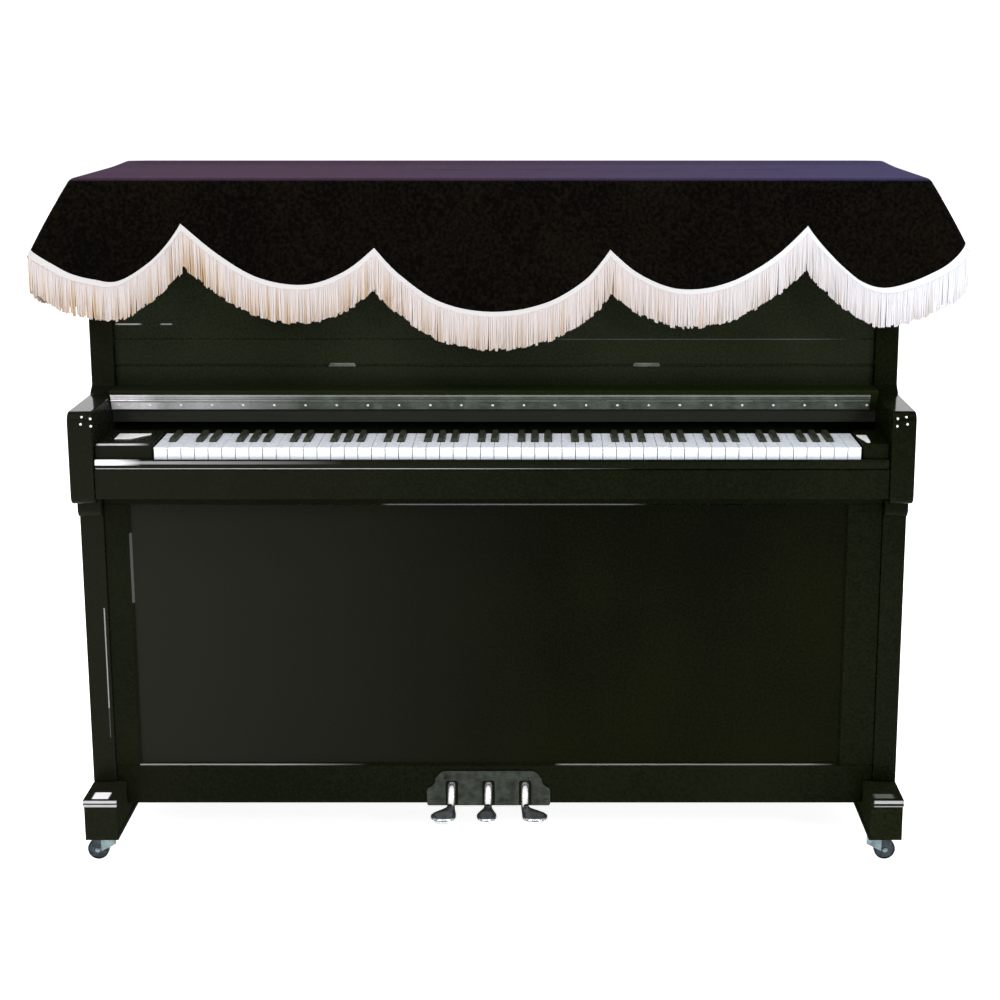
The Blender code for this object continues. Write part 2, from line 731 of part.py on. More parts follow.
def make_pedals():
    """The stepped pedal plate and its three pedals, which slope down towards the player."""
    front = LOWER_FRONT + PANEL_BACK - TOUCH_GAP
    plate = list(HALF_PLATE) + [(-x, z) for x, z in reversed(HALF_PLATE)]
    at = (PEDAL_CENTRE, front - PLATE_THICK / 2, BOARD_UNDER + PLATE_LIFT)
    flat_outline("pedal_plate", plate, PLATE_THICK, at, FACING_FRONT, IRON)
    back = front - PLATE_THICK - TOUCH_GAP
    length = math.hypot(back - PEDAL_FRONT, PEDAL_DROP)
    slope = math.asin(PEDAL_DROP / length)
    neck = -PEDAL_NECK_AT * length
    for pedal in PEDALS:
        outline = [(-PEDAL_ROOT, 0.0), (-PEDAL_NECK, neck)]
        middle = PAD_LENGTH * pedal.pad - length
        pad = arc((pedal.lean, middle), pedal.pad, 160, 380, 8)
        outline += [(x, middle + PAD_LENGTH * (y - middle)) for x, y in pad]
        outline += [(PEDAL_NECK, neck), (PEDAL_ROOT, 0.0)]
        at = (PEDAL_CENTRE + pedal.place * PEDAL_PITCH, back - PEDAL_CLEAR, PEDAL_TOP)
        flat_outline(f"pedal_{pedal.name}", outline, PEDAL_THICK, at, (slope, 0, 0), CHROME)


def make_casters():
    """Four casters turned sideways: each a wheel between the two cheeks of a plain fork."""
    half_facet = Matrix.Rotation(math.pi / WHEEL_SIDES, 4, "Z")
    inner = WHEEL_WIDTH / 2 + TOUCH_GAP
    outer = inner + FORK_CHEEK
    arch = WHEEL_RADIUS * 2 + FORK_CLEAR
    top = TOE_UNDER - TOUCH_GAP
    fork = [(-outer, FORK_FOOT), (-inner, FORK_FOOT), (-inner, arch), (inner, arch)]
    fork += [(inner, FORK_FOOT), (outer, FORK_FOOT), (outer, top), (-outer, top)]
    for x_name, x in (("left", CASTER_LEFT), ("right", CASTER_RIGHT)):
        for y_name, y in (("front", CASTER_FRONT), ("back", CASTER_BACK)):
            bpy.ops.mesh.primitive_cylinder_add(
                vertices=WHEEL_SIDES,
                radius=WHEEL_RADIUS / math.cos(math.pi / WHEEL_SIDES),
                depth=WHEEL_WIDTH,
                location=(x, y, WHEEL_RADIUS),
                rotation=(math.pi / 2, 0, 0),
            )
            wheel = bpy.context.object
            wheel.name = f"caster_wheel_{x_name}_{y_name}"
            wheel.data.transform(half_facet)
            place(wheel, IRON)
            name = f"caster_fork_{x_name}_{y_name}"
            flat_outline(name, fork, FORK_WIDTH, (x, y, 0), FACING_SIDE, IRON)


def centre_over_origin():
    """Moves the root in plan, so that the whole stands in the middle over the origin."""
    graph = bpy.context.evaluated_depsgraph_get()
    points = []
    for obj in PARTS.objects:
        if obj.type == "EMPTY":
            continue
        evaluated = obj.evaluated_get(graph)
        mesh = evaluated.to_mesh()
        points += [evaluated.matrix_world @ vertex.co for vertex in mesh.vertices]
        evaluated.to_mesh_clear()
    for axis in (0, 1):
        places = [point[axis] for point in points]
        ROOT.location[axis] -= (min(places) + max(places)) / 2


clear_scene()
PARTS = new_collection("piano_top_cover")
CUTTERS = new_collection("cutters")
ROOT = bpy.data.objects.new("root", None)
PARTS.objects.link(ROOT)

make_cover()
make_fringes()
make_sides()
make_case()
make_lower_panel()
make_fallboard()
make_key_blocks()
make_white_keys()
make_black_keys()
make_pedals()
make_casters()
centre_over_origin()
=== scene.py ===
"""Looks for a fringed velvet cover that lies on a plain upright piano.

Metres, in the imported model's frame: +X to the player's right, -Y towards the player, +Z up.
Sizes that follow are given about the middle of the case in plan, which MIDDLE places. The lid and
its cover lie LID_CENTRE to the right of it.
"""

import logging
import math
import random
import sys
from collections.abc import Sequence
from dataclasses import dataclass
from enum import Enum
from functools import cache
from typing import NamedTuple

import bmesh
import bpy
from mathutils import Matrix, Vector


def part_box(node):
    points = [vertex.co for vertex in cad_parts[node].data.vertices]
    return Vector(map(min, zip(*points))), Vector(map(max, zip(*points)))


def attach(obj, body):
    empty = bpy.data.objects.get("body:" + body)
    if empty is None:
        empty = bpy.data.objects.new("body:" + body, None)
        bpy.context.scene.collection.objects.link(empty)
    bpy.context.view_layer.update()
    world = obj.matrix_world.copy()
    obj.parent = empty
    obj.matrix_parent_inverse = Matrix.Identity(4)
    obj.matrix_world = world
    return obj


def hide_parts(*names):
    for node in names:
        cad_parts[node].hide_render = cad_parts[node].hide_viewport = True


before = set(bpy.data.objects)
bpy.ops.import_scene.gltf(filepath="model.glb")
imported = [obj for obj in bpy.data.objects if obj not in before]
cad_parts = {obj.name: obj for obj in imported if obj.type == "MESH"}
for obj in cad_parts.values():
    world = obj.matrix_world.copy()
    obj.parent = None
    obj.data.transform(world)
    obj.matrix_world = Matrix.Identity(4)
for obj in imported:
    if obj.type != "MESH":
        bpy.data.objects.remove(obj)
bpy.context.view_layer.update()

LOG = logging.getLogger("piano_cover")

Color = tuple[float, float, float, float]
Flat = tuple[float, float]
Solid = tuple[float, float, float]
Outline = tuple[Flat, ...]
Value = "Sock | float | tuple"
Material = bpy.types.Material
Object = bpy.types.Object

LID_CENTRE = 0.013
_low, _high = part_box("lid")
MIDDLE = (_low + _high) / 2 - Vector((LID_CENTRE, 0.0, 0.0))
MIDDLE.z = 0.0
LID_TOP = _high.z

RIGHT = Vector((1, 0, 0))
FRONT = Vector((0, -1, 0))


# ---- shader graphs ----


class Sock:
    """An output of a shader graph, so that maths on it is written as a Python expression."""

    def __init__(self, graph: "Graph", socket: bpy.types.NodeSocket) -> None:
        """Wraps one output socket of one graph."""
        self.graph = graph
        self.socket = socket

    def __add__(self, other: Value) -> "Sock":
        """Self plus other."""
        return self.graph.math("ADD", self, other)

    __radd__ = __add__

    def __sub__(self, other: Value) -> "Sock":
        """Self minus other."""
        return self.graph.math("SUBTRACT", self, other)

    def __rsub__(self, other: Value) -> "Sock":
        """Other minus self."""
        return self.graph.math("SUBTRACT", other, self)

    def __mul__(self, other: Value) -> "Sock":
        """Self times other."""
        return self.graph.math("MULTIPLY", self, other)

    __rmul__ = __mul__


class Graph:
    """The nodes round the shader of a material or of the world."""

    def __init__(
        self, owner: bpy.types.ID, shader: str = "Principled BSDF", **uniform: Value
    ) -> None:
        """Starts a graph.

        Args:
            owner: The material or the world.
            shader: The name of its shader's node.
            **uniform: What is the same all over, by the shader socket's name with _ for a space.
        """
        owner.use_nodes = True
        self.owner = owner
        self.tree = owner.node_tree
        self.shader = self.tree.nodes[shader]
        for key, value in uniform.items():
            self.shader.inputs[key.replace("_", " ")].default_value = value

    def node(
        self,
        kind: str,
        inputs: dict[str | int, Value] | None = None,
        out: str | int = 0,
        **settings: str,
    ) -> Sock:
        """Adds a node.

        Args:
            kind: The node's type, without ShaderNode before it.
            inputs: Values or links by socket.
            out: Which output is wanted.
            **settings: Its own settings.

        Returns:
            That output.
        """
        made = self.tree.nodes.new(f"ShaderNode{kind}")
        for key, value in settings.items():
            setattr(made, key, value)
        for key, value in (inputs or {}).items():
            if isinstance(value, Sock):
                self.tree.links.new(value.socket, made.inputs[key])
            else:
                made.inputs[key].default_value = value
        return Sock(self, made.outputs[out])

    def math(self, operation: str, *values: Value) -> Sock:
        """A Math node on one, two or three values."""
        return self.node("Math", dict(enumerate(values)), operation=operation)

    def place(self, space: str = "Object") -> Sock:
        """The point of the surface in metres in the model's frame, or the world's direction."""
        return self.node("TexCoord", out=space)

    def parts(self, vector: Sock) -> list[Sock]:
        """A vector's x, y and z."""
        return [self.node("SeparateXYZ", {0: vector}, i) for i in range(3)]

    def noise(self, vector: Sock, scale: Solid | float, detail: float = 2.0) -> Sock:
        """Soft noise from 0 to 1 with so many swells a metre, the same or for each axis."""
        along = (scale,) * 3 if isinstance(scale, float) else scale
        stretched = self.node("VectorMath", {0: vector, 1: along}, operation="MULTIPLY")
        return self.node("TexNoise", {"Vector": stretched, "Scale": 1.0, "Detail": detail})

    def spread(
        self, value: Value, low: float, high: float, to_low: float = 0.0, to_high: float = 1.0
    ) -> Sock:
        """The value moved from one range to another, and held inside it."""
        keys = ("Value", "From Min", "From Max", "To Min", "To Max")
        return self.node("MapRange", dict(zip(keys, (value, low, high, to_low, to_high))))

    def inside(self, part: Sock, low: float, high: float, fades: Flat) -> Sock:
        """One between low and high, fading to nought over so many metres below and above."""
        rise = self.spread(part, low - fades[0], low)
        return rise * self.spread(part, high, high + fades[1], 1.0, 0.0)

    def mix(self, share: Value, first: Value, second: Value) -> Sock:
        """A colour between two, by share from 0 to 1."""
        return self.node("Mix", {0: share, 6: first, 7: second}, 2, data_type="RGBA")

    def feed(self, name: str, value: Sock) -> None:
        """Links a value to one of the shader's sockets."""
        self.tree.links.new(value.socket, self.shader.inputs[name])

    def bump(self, height: Sock, strength: float, distance: float) -> None:
        """Raises the surface by a height from 0 to 1, so many metres at most."""
        inputs = {"Height": height, "Strength": strength, "Distance": distance}
        self.feed("Normal", self.node("Bump", inputs))


# ---- finishes ----


class Slot(Enum):
    """The record's material slots."""

    VELVET = "velvet"
    COTTON = "fringe_cotton"
    LACQUER = "black_lacquer"
    WHITE = "white_key"
    BLACK = "black_key"
    CHROME = "pedal_metal"
    IRON = "dark_metal"


@dataclass(frozen=True)
class Velvet:
    """Short-pile velvet: near black face on, with a painted sheen that makes its top purple, as its
    pile looks from the side.
    """

    slot: Slot = Slot.VELVET
    deep: Color = (0.0006, 0.0004, 0.0001, 1)
    brushed: Color = (0.004, 0.0029, 0.0015, 1)
    sheen_plum: Color = (0.036, 0.0185, 0.036, 1)
    sheen_violet: Color = (0.031, 0.0265, 0.07, 1)
    sheen: Color = (0.62, 0.46, 0.78, 1)
    turn: float = 0.002

    def make(self) -> Material:
        """Builds the material: a painted purple sheen on the top, and near black on what hangs
        below it.
        """
        graph = Graph(
            bpy.data.materials.new("aubergine_velvet"),
            Roughness=0.88,
            Specular_IOR_Level=0.03,
            Sheen_Weight=0.03,
            Sheen_Roughness=0.3,
            Sheen_Tint=self.sheen,
        )
        at = graph.place()
        strokes = graph.noise(at, (7.0, 9.0, 5.0), 3.0)
        mottle = graph.noise(at, (170.0, 170.0, 150.0), 3.0)
        pile = graph.noise(at, (900.0, 900.0, 700.0))
        share = graph.spread(strokes * 0.25 + mottle * 0.75, 0.42, 0.62)
        face = graph.mix(share, self.deep, self.brushed)
        across, _, level = graph.parts(at)
        # Painted sheen: the top is painted lighter, purple at the left and bluer at the right, in
        # patches, for the pile seen from the side.
        pale = graph.mix(graph.spread(across, -0.2, 0.7), self.sheen_plum, self.sheen_violet)
        patchy = graph.spread(strokes * 0.4 + mottle * 0.6, 0.3, 0.7, 0.78, 1.12)
        laid = graph.spread(level, LID_TOP - self.turn, LID_TOP + self.turn)
        graph.feed("Base Color", graph.mix(laid * patchy, face, pale))
        graph.bump(pile * 0.7 + mottle * 0.3, 0.55, 0.0012)
        return graph.owner


@dataclass(frozen=True)
class Backing:
    """The cloth's woven reverse, which shows inside the cover."""

    dark: Color = (0.01, 0.009, 0.012, 1)
    light: Color = (0.034, 0.03, 0.036, 1)
    threads: float = 900.0
    slot: Slot = Slot.VELVET

    def make(self) -> Material:
        """Builds the material."""
        graph = Graph(
            bpy.data.materials.new("woven_backing"), Roughness=0.9, Specular_IOR_Level=0.2
        )
        at = graph.place()
        x, y, z = [graph.math("SINE", part * self.threads) for part in graph.parts(at)]
        weave = graph.spread(x * z + y * z, -1.0, 1.0)
        patchy = graph.noise(at, 20.0, 3.0)
        graph.feed("Base Color", graph.mix(weave * patchy, self.dark, self.light))
        graph.bump(weave, 0.4, 0.0004)
        return graph.owner


@dataclass(frozen=True)
class Cotton:
    """Cream cotton, with a tone for each thread and finer fibres across it."""

    name: str
    pale: Color
    warm: Color
    cool: Color
    slot: Slot = Slot.COTTON
    fibres: float = 2600.0

    def make(self) -> Material:
        """Builds the material, warmer to the left and cooler to the right."""
        graph = Graph(
            bpy.data.materials.new(self.name),
            Roughness=0.82,
            Specular_IOR_Level=0.18,
            Sheen_Weight=0.15,
            Sheen_Roughness=0.5,
        )
        at = graph.place()
        tone = graph.node("Attribute", out="Fac", attribute_name="tone")
        patch = graph.noise(at, (60.0, 60.0, 14.0))
        share = graph.spread(tone * 0.8 + patch * 0.2, 0.22, 1.0)
        across = graph.parts(at)[0]
        plain = graph.mix(graph.spread(across, 0.25, 0.8), self.pale, self.cool)
        warmer_left = graph.spread(across, -0.75, 0.6, 1.4, 0.35)
        graph.feed("Base Color", graph.mix(share * warmer_left, plain, self.warm))
        grain = (self.fibres, self.fibres, self.fibres / 6)
        graph.bump(graph.noise(at, grain), 0.35, 0.0004)
        return graph.owner


class Glare(NamedTuple):
    """A box about the case's middle, where a painted highlight lightens a colour, or where a coat
    lies.

    Its (low, high) pairs bound it, and fades say how softly it ends on the left and the right.
    """

    x: Flat
    y: Flat
    z: Flat
    strength: float = 1.0
    fades: Flat = (0.002, 0.002)

    def on(self, graph: Graph, parts: Sequence[Sock]) -> Sock:
        """The glare's strength over a surface whose x, y and z are given."""
        crisp = (0.0004, 0.0004)
        x, y, z = parts
        across = graph.inside(x, self.x[0] + MIDDLE.x, self.x[1] + MIDDLE.x, self.fades)
        along = graph.inside(y, self.y[0] + MIDDLE.y, self.y[1] + MIDDLE.y, crisp)
        return across * along * graph.inside(z, *self.z, crisp) * self.strength


def glares(y: Flat, *rows: tuple) -> tuple[Glare, ...]:
    """Glares at one depth, from rows of x, z and what else differs from a plain one."""
    return tuple(Glare(x, y, *rest) for x, *rest in rows)


def with_glares(graph: Graph, at: Sock, places: Sequence[Glare], plain: Sock) -> Sock:
    """A colour with the glares over it as painted highlights, in near white."""
    color = plain
    if places:
        parts = graph.parts(at)
        for glare in places:
            # The near white that the painted highlights mix in.
            color = graph.mix(glare.on(graph, parts), color, (0.96, 0.94, 0.97, 1))
    return color


@dataclass(frozen=True)
class Lacquer:
    """Black piano lacquer, a little cloudy and paler to the left, with painted highlights where it
    has glares. Coated where it is polished.
    """

    name: str = "black_lacquer"
    black: Color = (0.0017, 0.0027, 0.0002, 1)
    hazy: Color = (0.0056, 0.007, 0.002, 1)
    paler: Color = (0.012, 0.0126, 0.009, 1)
    gloss: float = 0.2
    haze: float = 0.32
    shine: float = 0.025
    paler_left: float = 0.45
    glares: tuple[Glare, ...] = ()
    polished: tuple[Glare, ...] = ()
    slot: Slot = Slot.LACQUER

    def make(self) -> Material:
        """Builds the material."""
        graph = Graph(
            bpy.data.materials.new(self.name), Specular_IOR_Level=self.shine, Coat_Roughness=0.05
        )
        at = graph.place()
        cloud = graph.noise(at, (3.0, 3.0, 2.2), 4.0)
        grain = graph.noise(at, 230.0)
        share = graph.spread(cloud * 0.45 + grain * 0.55, 0.4, 0.62)
        paler_left = graph.spread(graph.parts(at)[0], -0.65, 0.1, self.paler_left, 0.0)
        color = graph.mix(paler_left, graph.mix(share, self.black, self.hazy), self.paler)
        # Painted highlights: the glares lighten the colour to near white.
        graph.feed("Base Color", with_glares(graph, at, self.glares, color))
        for place in self.polished:
            graph.feed("Coat Weight", place.on(graph, graph.parts(at)))
        graph.feed("Roughness", graph.spread(share, 0.0, 1.0, self.gloss, self.haze))
        ripple = graph.noise(at, 55.0, 1.0)
        graph.bump(ripple * 0.8 + grain * 0.2, 0.06, 0.0008)
        return graph.owner


@dataclass(frozen=True)
class KeyPlastic:
    """The keys' coverings: a smooth moulding, a little greyer where fingers rest."""

    slot: Slot
    clean: Color
    handled: Color
    gloss: float
    haze: float
    shine: float = 0.4

    def make(self) -> Material:
        """Builds the material."""
        graph = Graph(bpy.data.materials.new(self.slot.value), Specular_IOR_Level=self.shine)
        at = graph.place()
        touch = graph.noise(at, (45.0, 30.0, 30.0), 3.0)
        share = graph.spread(touch, 0.4, 0.7)
        graph.feed("Base Color", graph.mix(share, self.clean, self.handled))
        graph.feed("Roughness", graph.spread(touch, 0.3, 0.7, self.gloss, self.haze))
        graph.bump(graph.noise(at, (700.0, 160.0, 700.0)), 0.05, 0.0003)
        return graph.owner


@dataclass(frozen=True)
class Metal:
    """Bare or plated metal, brushed along one axis and dulled in patches, with painted highlights
    where it has glares.
    """

    name: str
    slot: Slot
    bright: Color
    dull: Color
    gloss: float
    haze: float
    metallic: float = 1.0
    brushed: Solid = (40.0, 900.0, 900.0)
    glares: tuple[Glare, ...] = ()

    def make(self) -> Material:
        """Builds the material."""
        graph = Graph(bpy.data.materials.new(self.name), Metallic=self.metallic)
        at = graph.place()
        patch = graph.noise(at, 70.0, 4.0)
        lines = graph.noise(at, self.brushed)
        share = graph.spread(patch * 0.7 + lines * 0.3, 0.38, 0.68)
        color = graph.mix(share, self.bright, self.dull)
        # Painted highlights: the glares lighten the colour to near white.
        graph.feed("Base Color", with_glares(graph, at, self.glares, color))
        graph.feed("Roughness", graph.spread(share, 0.0, 1.0, self.gloss, self.haze))
        graph.bump(lines, 0.1, 0.0002)
        return graph.owner


VELVET = Velvet()
BACKING = Backing()
THREAD = Cotton(
    "cut_thread", (0.568, 0.52, 0.512, 1), (0.43, 0.295, 0.175, 1), (0.665, 0.67, 0.715, 1)
)
PLAIT = Cotton(
    "plaited_heading", (0.5, 0.488, 0.488, 1), (0.44, 0.41, 0.39, 1), (0.64, 0.68, 0.7, 1)
)
LACQUER = Lacquer()
PANEL = Lacquer(
    "panel_lacquer", (0.0011, 0.0015, 0.0001, 1), (0.0046, 0.0054, 0.0008, 1),
    gloss=0.24, haze=0.38, shine=0.02, paler_left=1.0,
)
FRAME = Lacquer("frame_lacquer", gloss=0.24, haze=0.38, shine=0.02, paler_left=0.15)
# Painted highlights: two faint pale lines down the left side's inner front edge.
SIDE = Lacquer(
    "side_lacquer",
    glares=glares(
        (-0.292, -0.286),
        ((-0.703, -0.7014), (0.272, 0.462), 0.24, (0.0005, 0.0005)),
        ((-0.703, -0.7014), (0.215, 0.272), 0.04, (0.0005, 0.0005)),
    ),
    polished=glares((-0.35, -0.165), ((-0.75, 0.75), (0.8322, 0.8345))),
)
# The fallboard lip's lacquer is painted lighter and greener than the case's, standing in for light
# on its face in the cover's shade. Its glare is a faint painted highlight on the face below the
# hinge.
LIP = Lacquer(
    "lip_lacquer", (0.0046, 0.0084, 0.001, 1), (0.0086, 0.0134, 0.0036, 1), gloss=0.42, haze=0.58,
    glares=glares((-0.25, -0.15), ((-0.7, 0.7), (0.78, 0.8085), 0.022)),
)
# The music panel's lacquer is painted lighter than the case's, standing in for light under the
# cover's shade. Painted highlights: two short pale lines high on the left and a faint line to the
# right.
REST = Lacquer(
    "rest_lacquer", (0.0078, 0.0098, 0.0036, 1), (0.015, 0.018, 0.0092, 1), paler_left=0.0,
    glares=glares(
        (-0.1505, -0.14),
        ((-0.689, -0.652), (0.9566, 0.9588), 0.38, (0.004, 0.01)),
        ((-0.607, -0.591), (0.9566, 0.9588), 0.26, (0.004, 0.004)),
        ((0.13, 0.6), (0.9296, 0.9306), 0.1, (0.03, 0.06)),
    ),
)
SATIN = Lacquer(
    "satin_lacquer", (0.005, 0.0062, 0.002, 1), (0.0092, 0.0108, 0.005, 1),
    gloss=0.42, haze=0.58, paler_left=0.0,
)
# Painted highlights: a pale patch and a line on the key slip at the left, and a line along the key
# bed's edge that fades to the right.
SLIP = Lacquer(
    "slip_lacquer", shine=0.04,
    glares=glares(
        (-0.35, -0.33),
        ((-0.692, -0.662), (0.7385, 0.7478), 0.85, (0.002, 0.05)),
        ((-0.692, -0.56), (0.7405, 0.7455), 0.22, (0.002, 0.3)),
        ((-0.692, -0.1), (0.7308, 0.7326), 0.5, (0.002, 0.35)),
    ),
)
# Painted highlight: a pale line along the left key block's front top edge.
BLOCK = Lacquer(
    "block_lacquer",
    glares=glares((-0.332, -0.3265), ((-0.688, -0.628), (0.772, 0.7746), 0.45, (0.004, 0.03))),
)
# Painted highlights: pale lines on the bead along the field's foot, up its left edge and along its
# top.
SILL = Lacquer(
    "sill_lacquer",
    glares=glares(
        (-0.29, -0.27),
        ((-0.66, -0.385), (0.156, 0.1605), 0.27, (0.002, 0.15)),
        ((0.125, 0.575), (0.156, 0.1605), 0.2, (0.015, 0.05)),
        ((-0.6525, -0.649), (0.47, 0.6), 0.07),
        ((-0.185, 0.235), (0.6508, 0.6552), 0.1, (0.015, 0.04)),
    ),
)
# Painted highlights: two pale strips on each toe's front moulding. Painted reflection: a pale patch
# on each toe's top, strong on the left and faint on the right.
TOE = Lacquer(
    "toe_lacquer", (0.0054, 0.007, 0.0024, 1), (0.0112, 0.0136, 0.007, 1),
    gloss=0.4, haze=0.52, shine=0.0,
    glares=(
        *glares(
            (-0.373, -0.368),
            ((-0.7385, -0.6765), (0.1222, 0.1268), 0.46),
            ((-0.7385, -0.6765), (0.1136, 0.1192), 0.42),
        ),
        Glare((-0.721, -0.695), (-0.365, -0.337), (0.127, 0.129), 0.9, (0.003, 0.003)),
        *glares(
            (-0.373, -0.368),
            ((0.685, 0.7385), (0.1215, 0.1268), 0.36),
            ((0.685, 0.7385), (0.1144, 0.1172), 0.24),
        ),
        Glare((0.69, 0.718), (-0.362, -0.344), (0.127, 0.129), 0.1, (0.006, 0.006)),
    ),
)
WHITE_KEY = KeyPlastic(Slot.WHITE, (0.745, 0.785, 0.845, 1), (0.73, 0.77, 0.83, 1), 0.24, 0.32)
BLACK_KEY = KeyPlastic(
    Slot.BLACK, (0.02, 0.025, 0.014, 1), (0.034, 0.04, 0.026, 1), 0.3, 0.44, 0.14
)
# Painted highlight: a glare lightens most of each pedal to near white.
CHROME = Metal(
    "pedal_chrome", Slot.CHROME, (0.62, 0.66, 0.68, 1), (0.42, 0.45, 0.47, 1), 0.1, 0.26,
    brushed=(20.0, 60.0, 60.0),
    glares=glares((-0.345, -0.28), ((-0.13, 0.11), (0.097, 0.132), 1.0, (0.01, 0.01))),
)
# Bright nickel painted near white and not metallic: its colour is a painted highlight on the pivot
# plates and the screw heads.
BRIGHT = Metal(
    "nickel_painted_highlight", Slot.CHROME, (0.92, 0.91, 0.92, 1), (0.82, 0.8, 0.79, 1), 0.4, 0.55, 0.0
)
# Nickel painted dark, for the shade the long hinge lies in, with painted highlights: a pale line
# along it and bright patches at its left end.
NICKEL = Metal(
    "hinge_nickel", Slot.CHROME, (0.1, 0.118, 0.092, 1), (0.04, 0.052, 0.038, 1), 0.2, 0.36, 0.1,
    glares=glares(
        (-0.3, -0.1),
        ((-0.7, 0.7), (0.8345, 0.8376), 0.16),
        ((-0.7, -0.53), (0.8255, 0.87), 0.36, (0.002, 0.2)),
        ((-0.7, -0.53), (0.78, 0.8235), 0.45, (0.002, 0.18)),
        ((-0.7, -0.655), (0.8262, 0.87), 1.0, (0.002, 0.045)),
        ((-0.685, -0.628), (0.78, 0.8228), 1.0, (0.03, 0.03)),
    ),
)
IRON = Metal(
    "plate_iron", Slot.IRON, (0.042, 0.05, 0.04, 1), (0.018, 0.022, 0.018, 1), 0.38, 0.58
)
STEEL = Metal(
    "caster_steel", Slot.IRON, (0.044, 0.055, 0.061, 1), (0.013, 0.017, 0.019, 1), 0.2, 0.38
)
CAST = Metal("arm_steel", Slot.IRON, (0.22, 0.29, 0.3, 1), (0.1, 0.13, 0.14, 1), 0.3, 0.45)


Finish = Velvet | Backing | Cotton | Lacquer | KeyPlastic | Metal


@cache
def dressed(finish: Finish) -> Material:
    """The material of a finish, built once."""
    return finish.make()


# ---- meshes ----


class Axis(Enum):
    """The axis along which a flat outline is drawn out."""

    X = 0
    Y = 1
    Z = 2

    def point(self, flat: Flat, along: float) -> Vector:
        """The point of the outline's (first, second) other axes at a place along this one."""
        parts = list(flat)
        parts.insert(self.value, along)
        return Vector(parts)


def placed(name: str, data: bpy.types.ID) -> Object:
    """An object in the scene."""
    made = bpy.data.objects.new(name, data)
    bpy.context.scene.collection.objects.link(made)
    return made


class Form:
    """A mesh in the making, about the case's middle."""

    def __init__(self) -> None:
        """Starts it with nothing in it."""
        self.mesh = bmesh.new()

    def loft(self, rings: Sequence[Sequence[Vector]]) -> "Form":
        """Adds a tube through rings with equal counts of points, closed at both ends."""
        rows = [[self.mesh.verts.new(point) for point in ring] for ring in rings]
        for row, following in zip(rows, rows[1:]):
            for i in range(len(row)):
                j = (i + 1) % len(row)
                self.mesh.faces.new((row[i], row[j], following[j], following[i]))
        self.mesh.faces.new(list(reversed(rows[0])))
        self.mesh.faces.new(rows[-1])
        return self

    def drawn(self, axis: Axis, outline: Sequence[Flat], low: float, high: float) -> "Form":
        """Adds a solid with one closed outline, on the other two axes, all along an axis."""
        new = self.mesh.faces.new
        first, last = [
            [self.mesh.verts.new(axis.point(p, along)) for p in outline] for along in (low, high)
        ]
        new(first)
        new(last[::-1])
        for i in range(len(outline)):
            j = (i + 1) % len(outline)
            new((first[i], last[i], last[j], first[j]))
        return self

    def box(self, x: Flat, y: Flat, z: Flat) -> "Form":
        """Adds a box from its (low, high) pairs."""
        outline = [(x[0], y[0]), (x[1], y[0]), (x[1], y[1]), (x[0], y[1])]
        return self.drawn(Axis.Z, outline, *z)

    def turned(
        self, centre: Vector, axis: Vector, profile: Sequence[Flat], sides: int = 20
    ) -> "Form":
        """Adds a turned form.

        Args:
            centre: The axis's start.
            axis: The way along the axis, of unit length.
            profile: Its (distance along, radius) pairs.
            sides: How many sides its rounds have.

        Returns:
            This form.
        """
        across = axis.orthogonal().normalized()
        other = axis.cross(across)
        angles = [2 * math.pi * i / sides for i in range(sides)]
        ways = [across * math.cos(a) + other * math.sin(a) for a in angles]
        return self.loft(
            [[centre + axis * run + way * radius for way in ways] for run, radius in profile]
        )

    def data(self, name: str) -> bpy.types.Mesh:
        """The mesh as Blender keeps it. Nothing can be added afterwards."""
        made = bpy.data.meshes.new(name)
        self.mesh.to_mesh(made)
        self.mesh.free()
        return made

    def piece(
        self,
        name: str,
        finish: Finish,
        *replaces: str,
        slot: Slot | None = None,
        sharp: float = 40.0,
        edge: float = 0.0,
        steps: int = 2,
    ) -> Object:
        """Turns the mesh into a piece that rides on the model.

        Args:
            name: The piece's name.
            finish: Its finish.
            *replaces: The plain nodes that it stands for.
            slot: The record's slot, where it isn't the finish's own. It is not used.
            sharp: The angle in degrees over which an edge stays crisp.
            edge: How far each edge is rounded back, in metres.
            steps: The steps of that round.

        Returns:
            The piece.
        """
        bmesh.ops.recalc_face_normals(self.mesh, faces=self.mesh.faces)
        bmesh.ops.translate(self.mesh, verts=self.mesh.verts, vec=MIDDLE)
        data = self.data(name)
        data.shade_smooth()
        data.set_sharp_from_angle(angle=math.radians(sharp))
        made = placed(name, data)
        data.materials.append(dressed(finish))
        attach(made, "root")
        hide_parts(*replaces)
        if edge:
            rounding = made.modifiers.new("eased edges", "BEVEL")
            rounding.width = edge
            rounding.segments = steps
            rounding.limit_method = "ANGLE"
            rounding.angle_limit = math.radians(28)
            rounding.harden_normals = True
        LOG.info("%s: %d faces", name, len(data.polygons))
        return made


def rod(length: float, radius: float) -> list[Flat]:
    """The profile of a plain round rod with flat ends."""
    return [(0.0, 0.0), (0.0, radius), (length, radius), (length, 0.0)]


def arc(centre: Flat, radius: float, start: float, end: float, steps: int) -> list[Flat]:
    """Points of an arc from one angle to another, in degrees."""
    angles = [math.radians(start + (end - start) * i / steps) for i in range(steps + 1)]
    return [(centre[0] + radius * math.cos(a), centre[1] + radius * math.sin(a)) for a in angles]


def smooth(share: float) -> float:
    """A share from 0 to 1, eased at both ends."""
    held = min(max(share, 0.0), 1.0)
    return held * held * (3 - 2 * held)


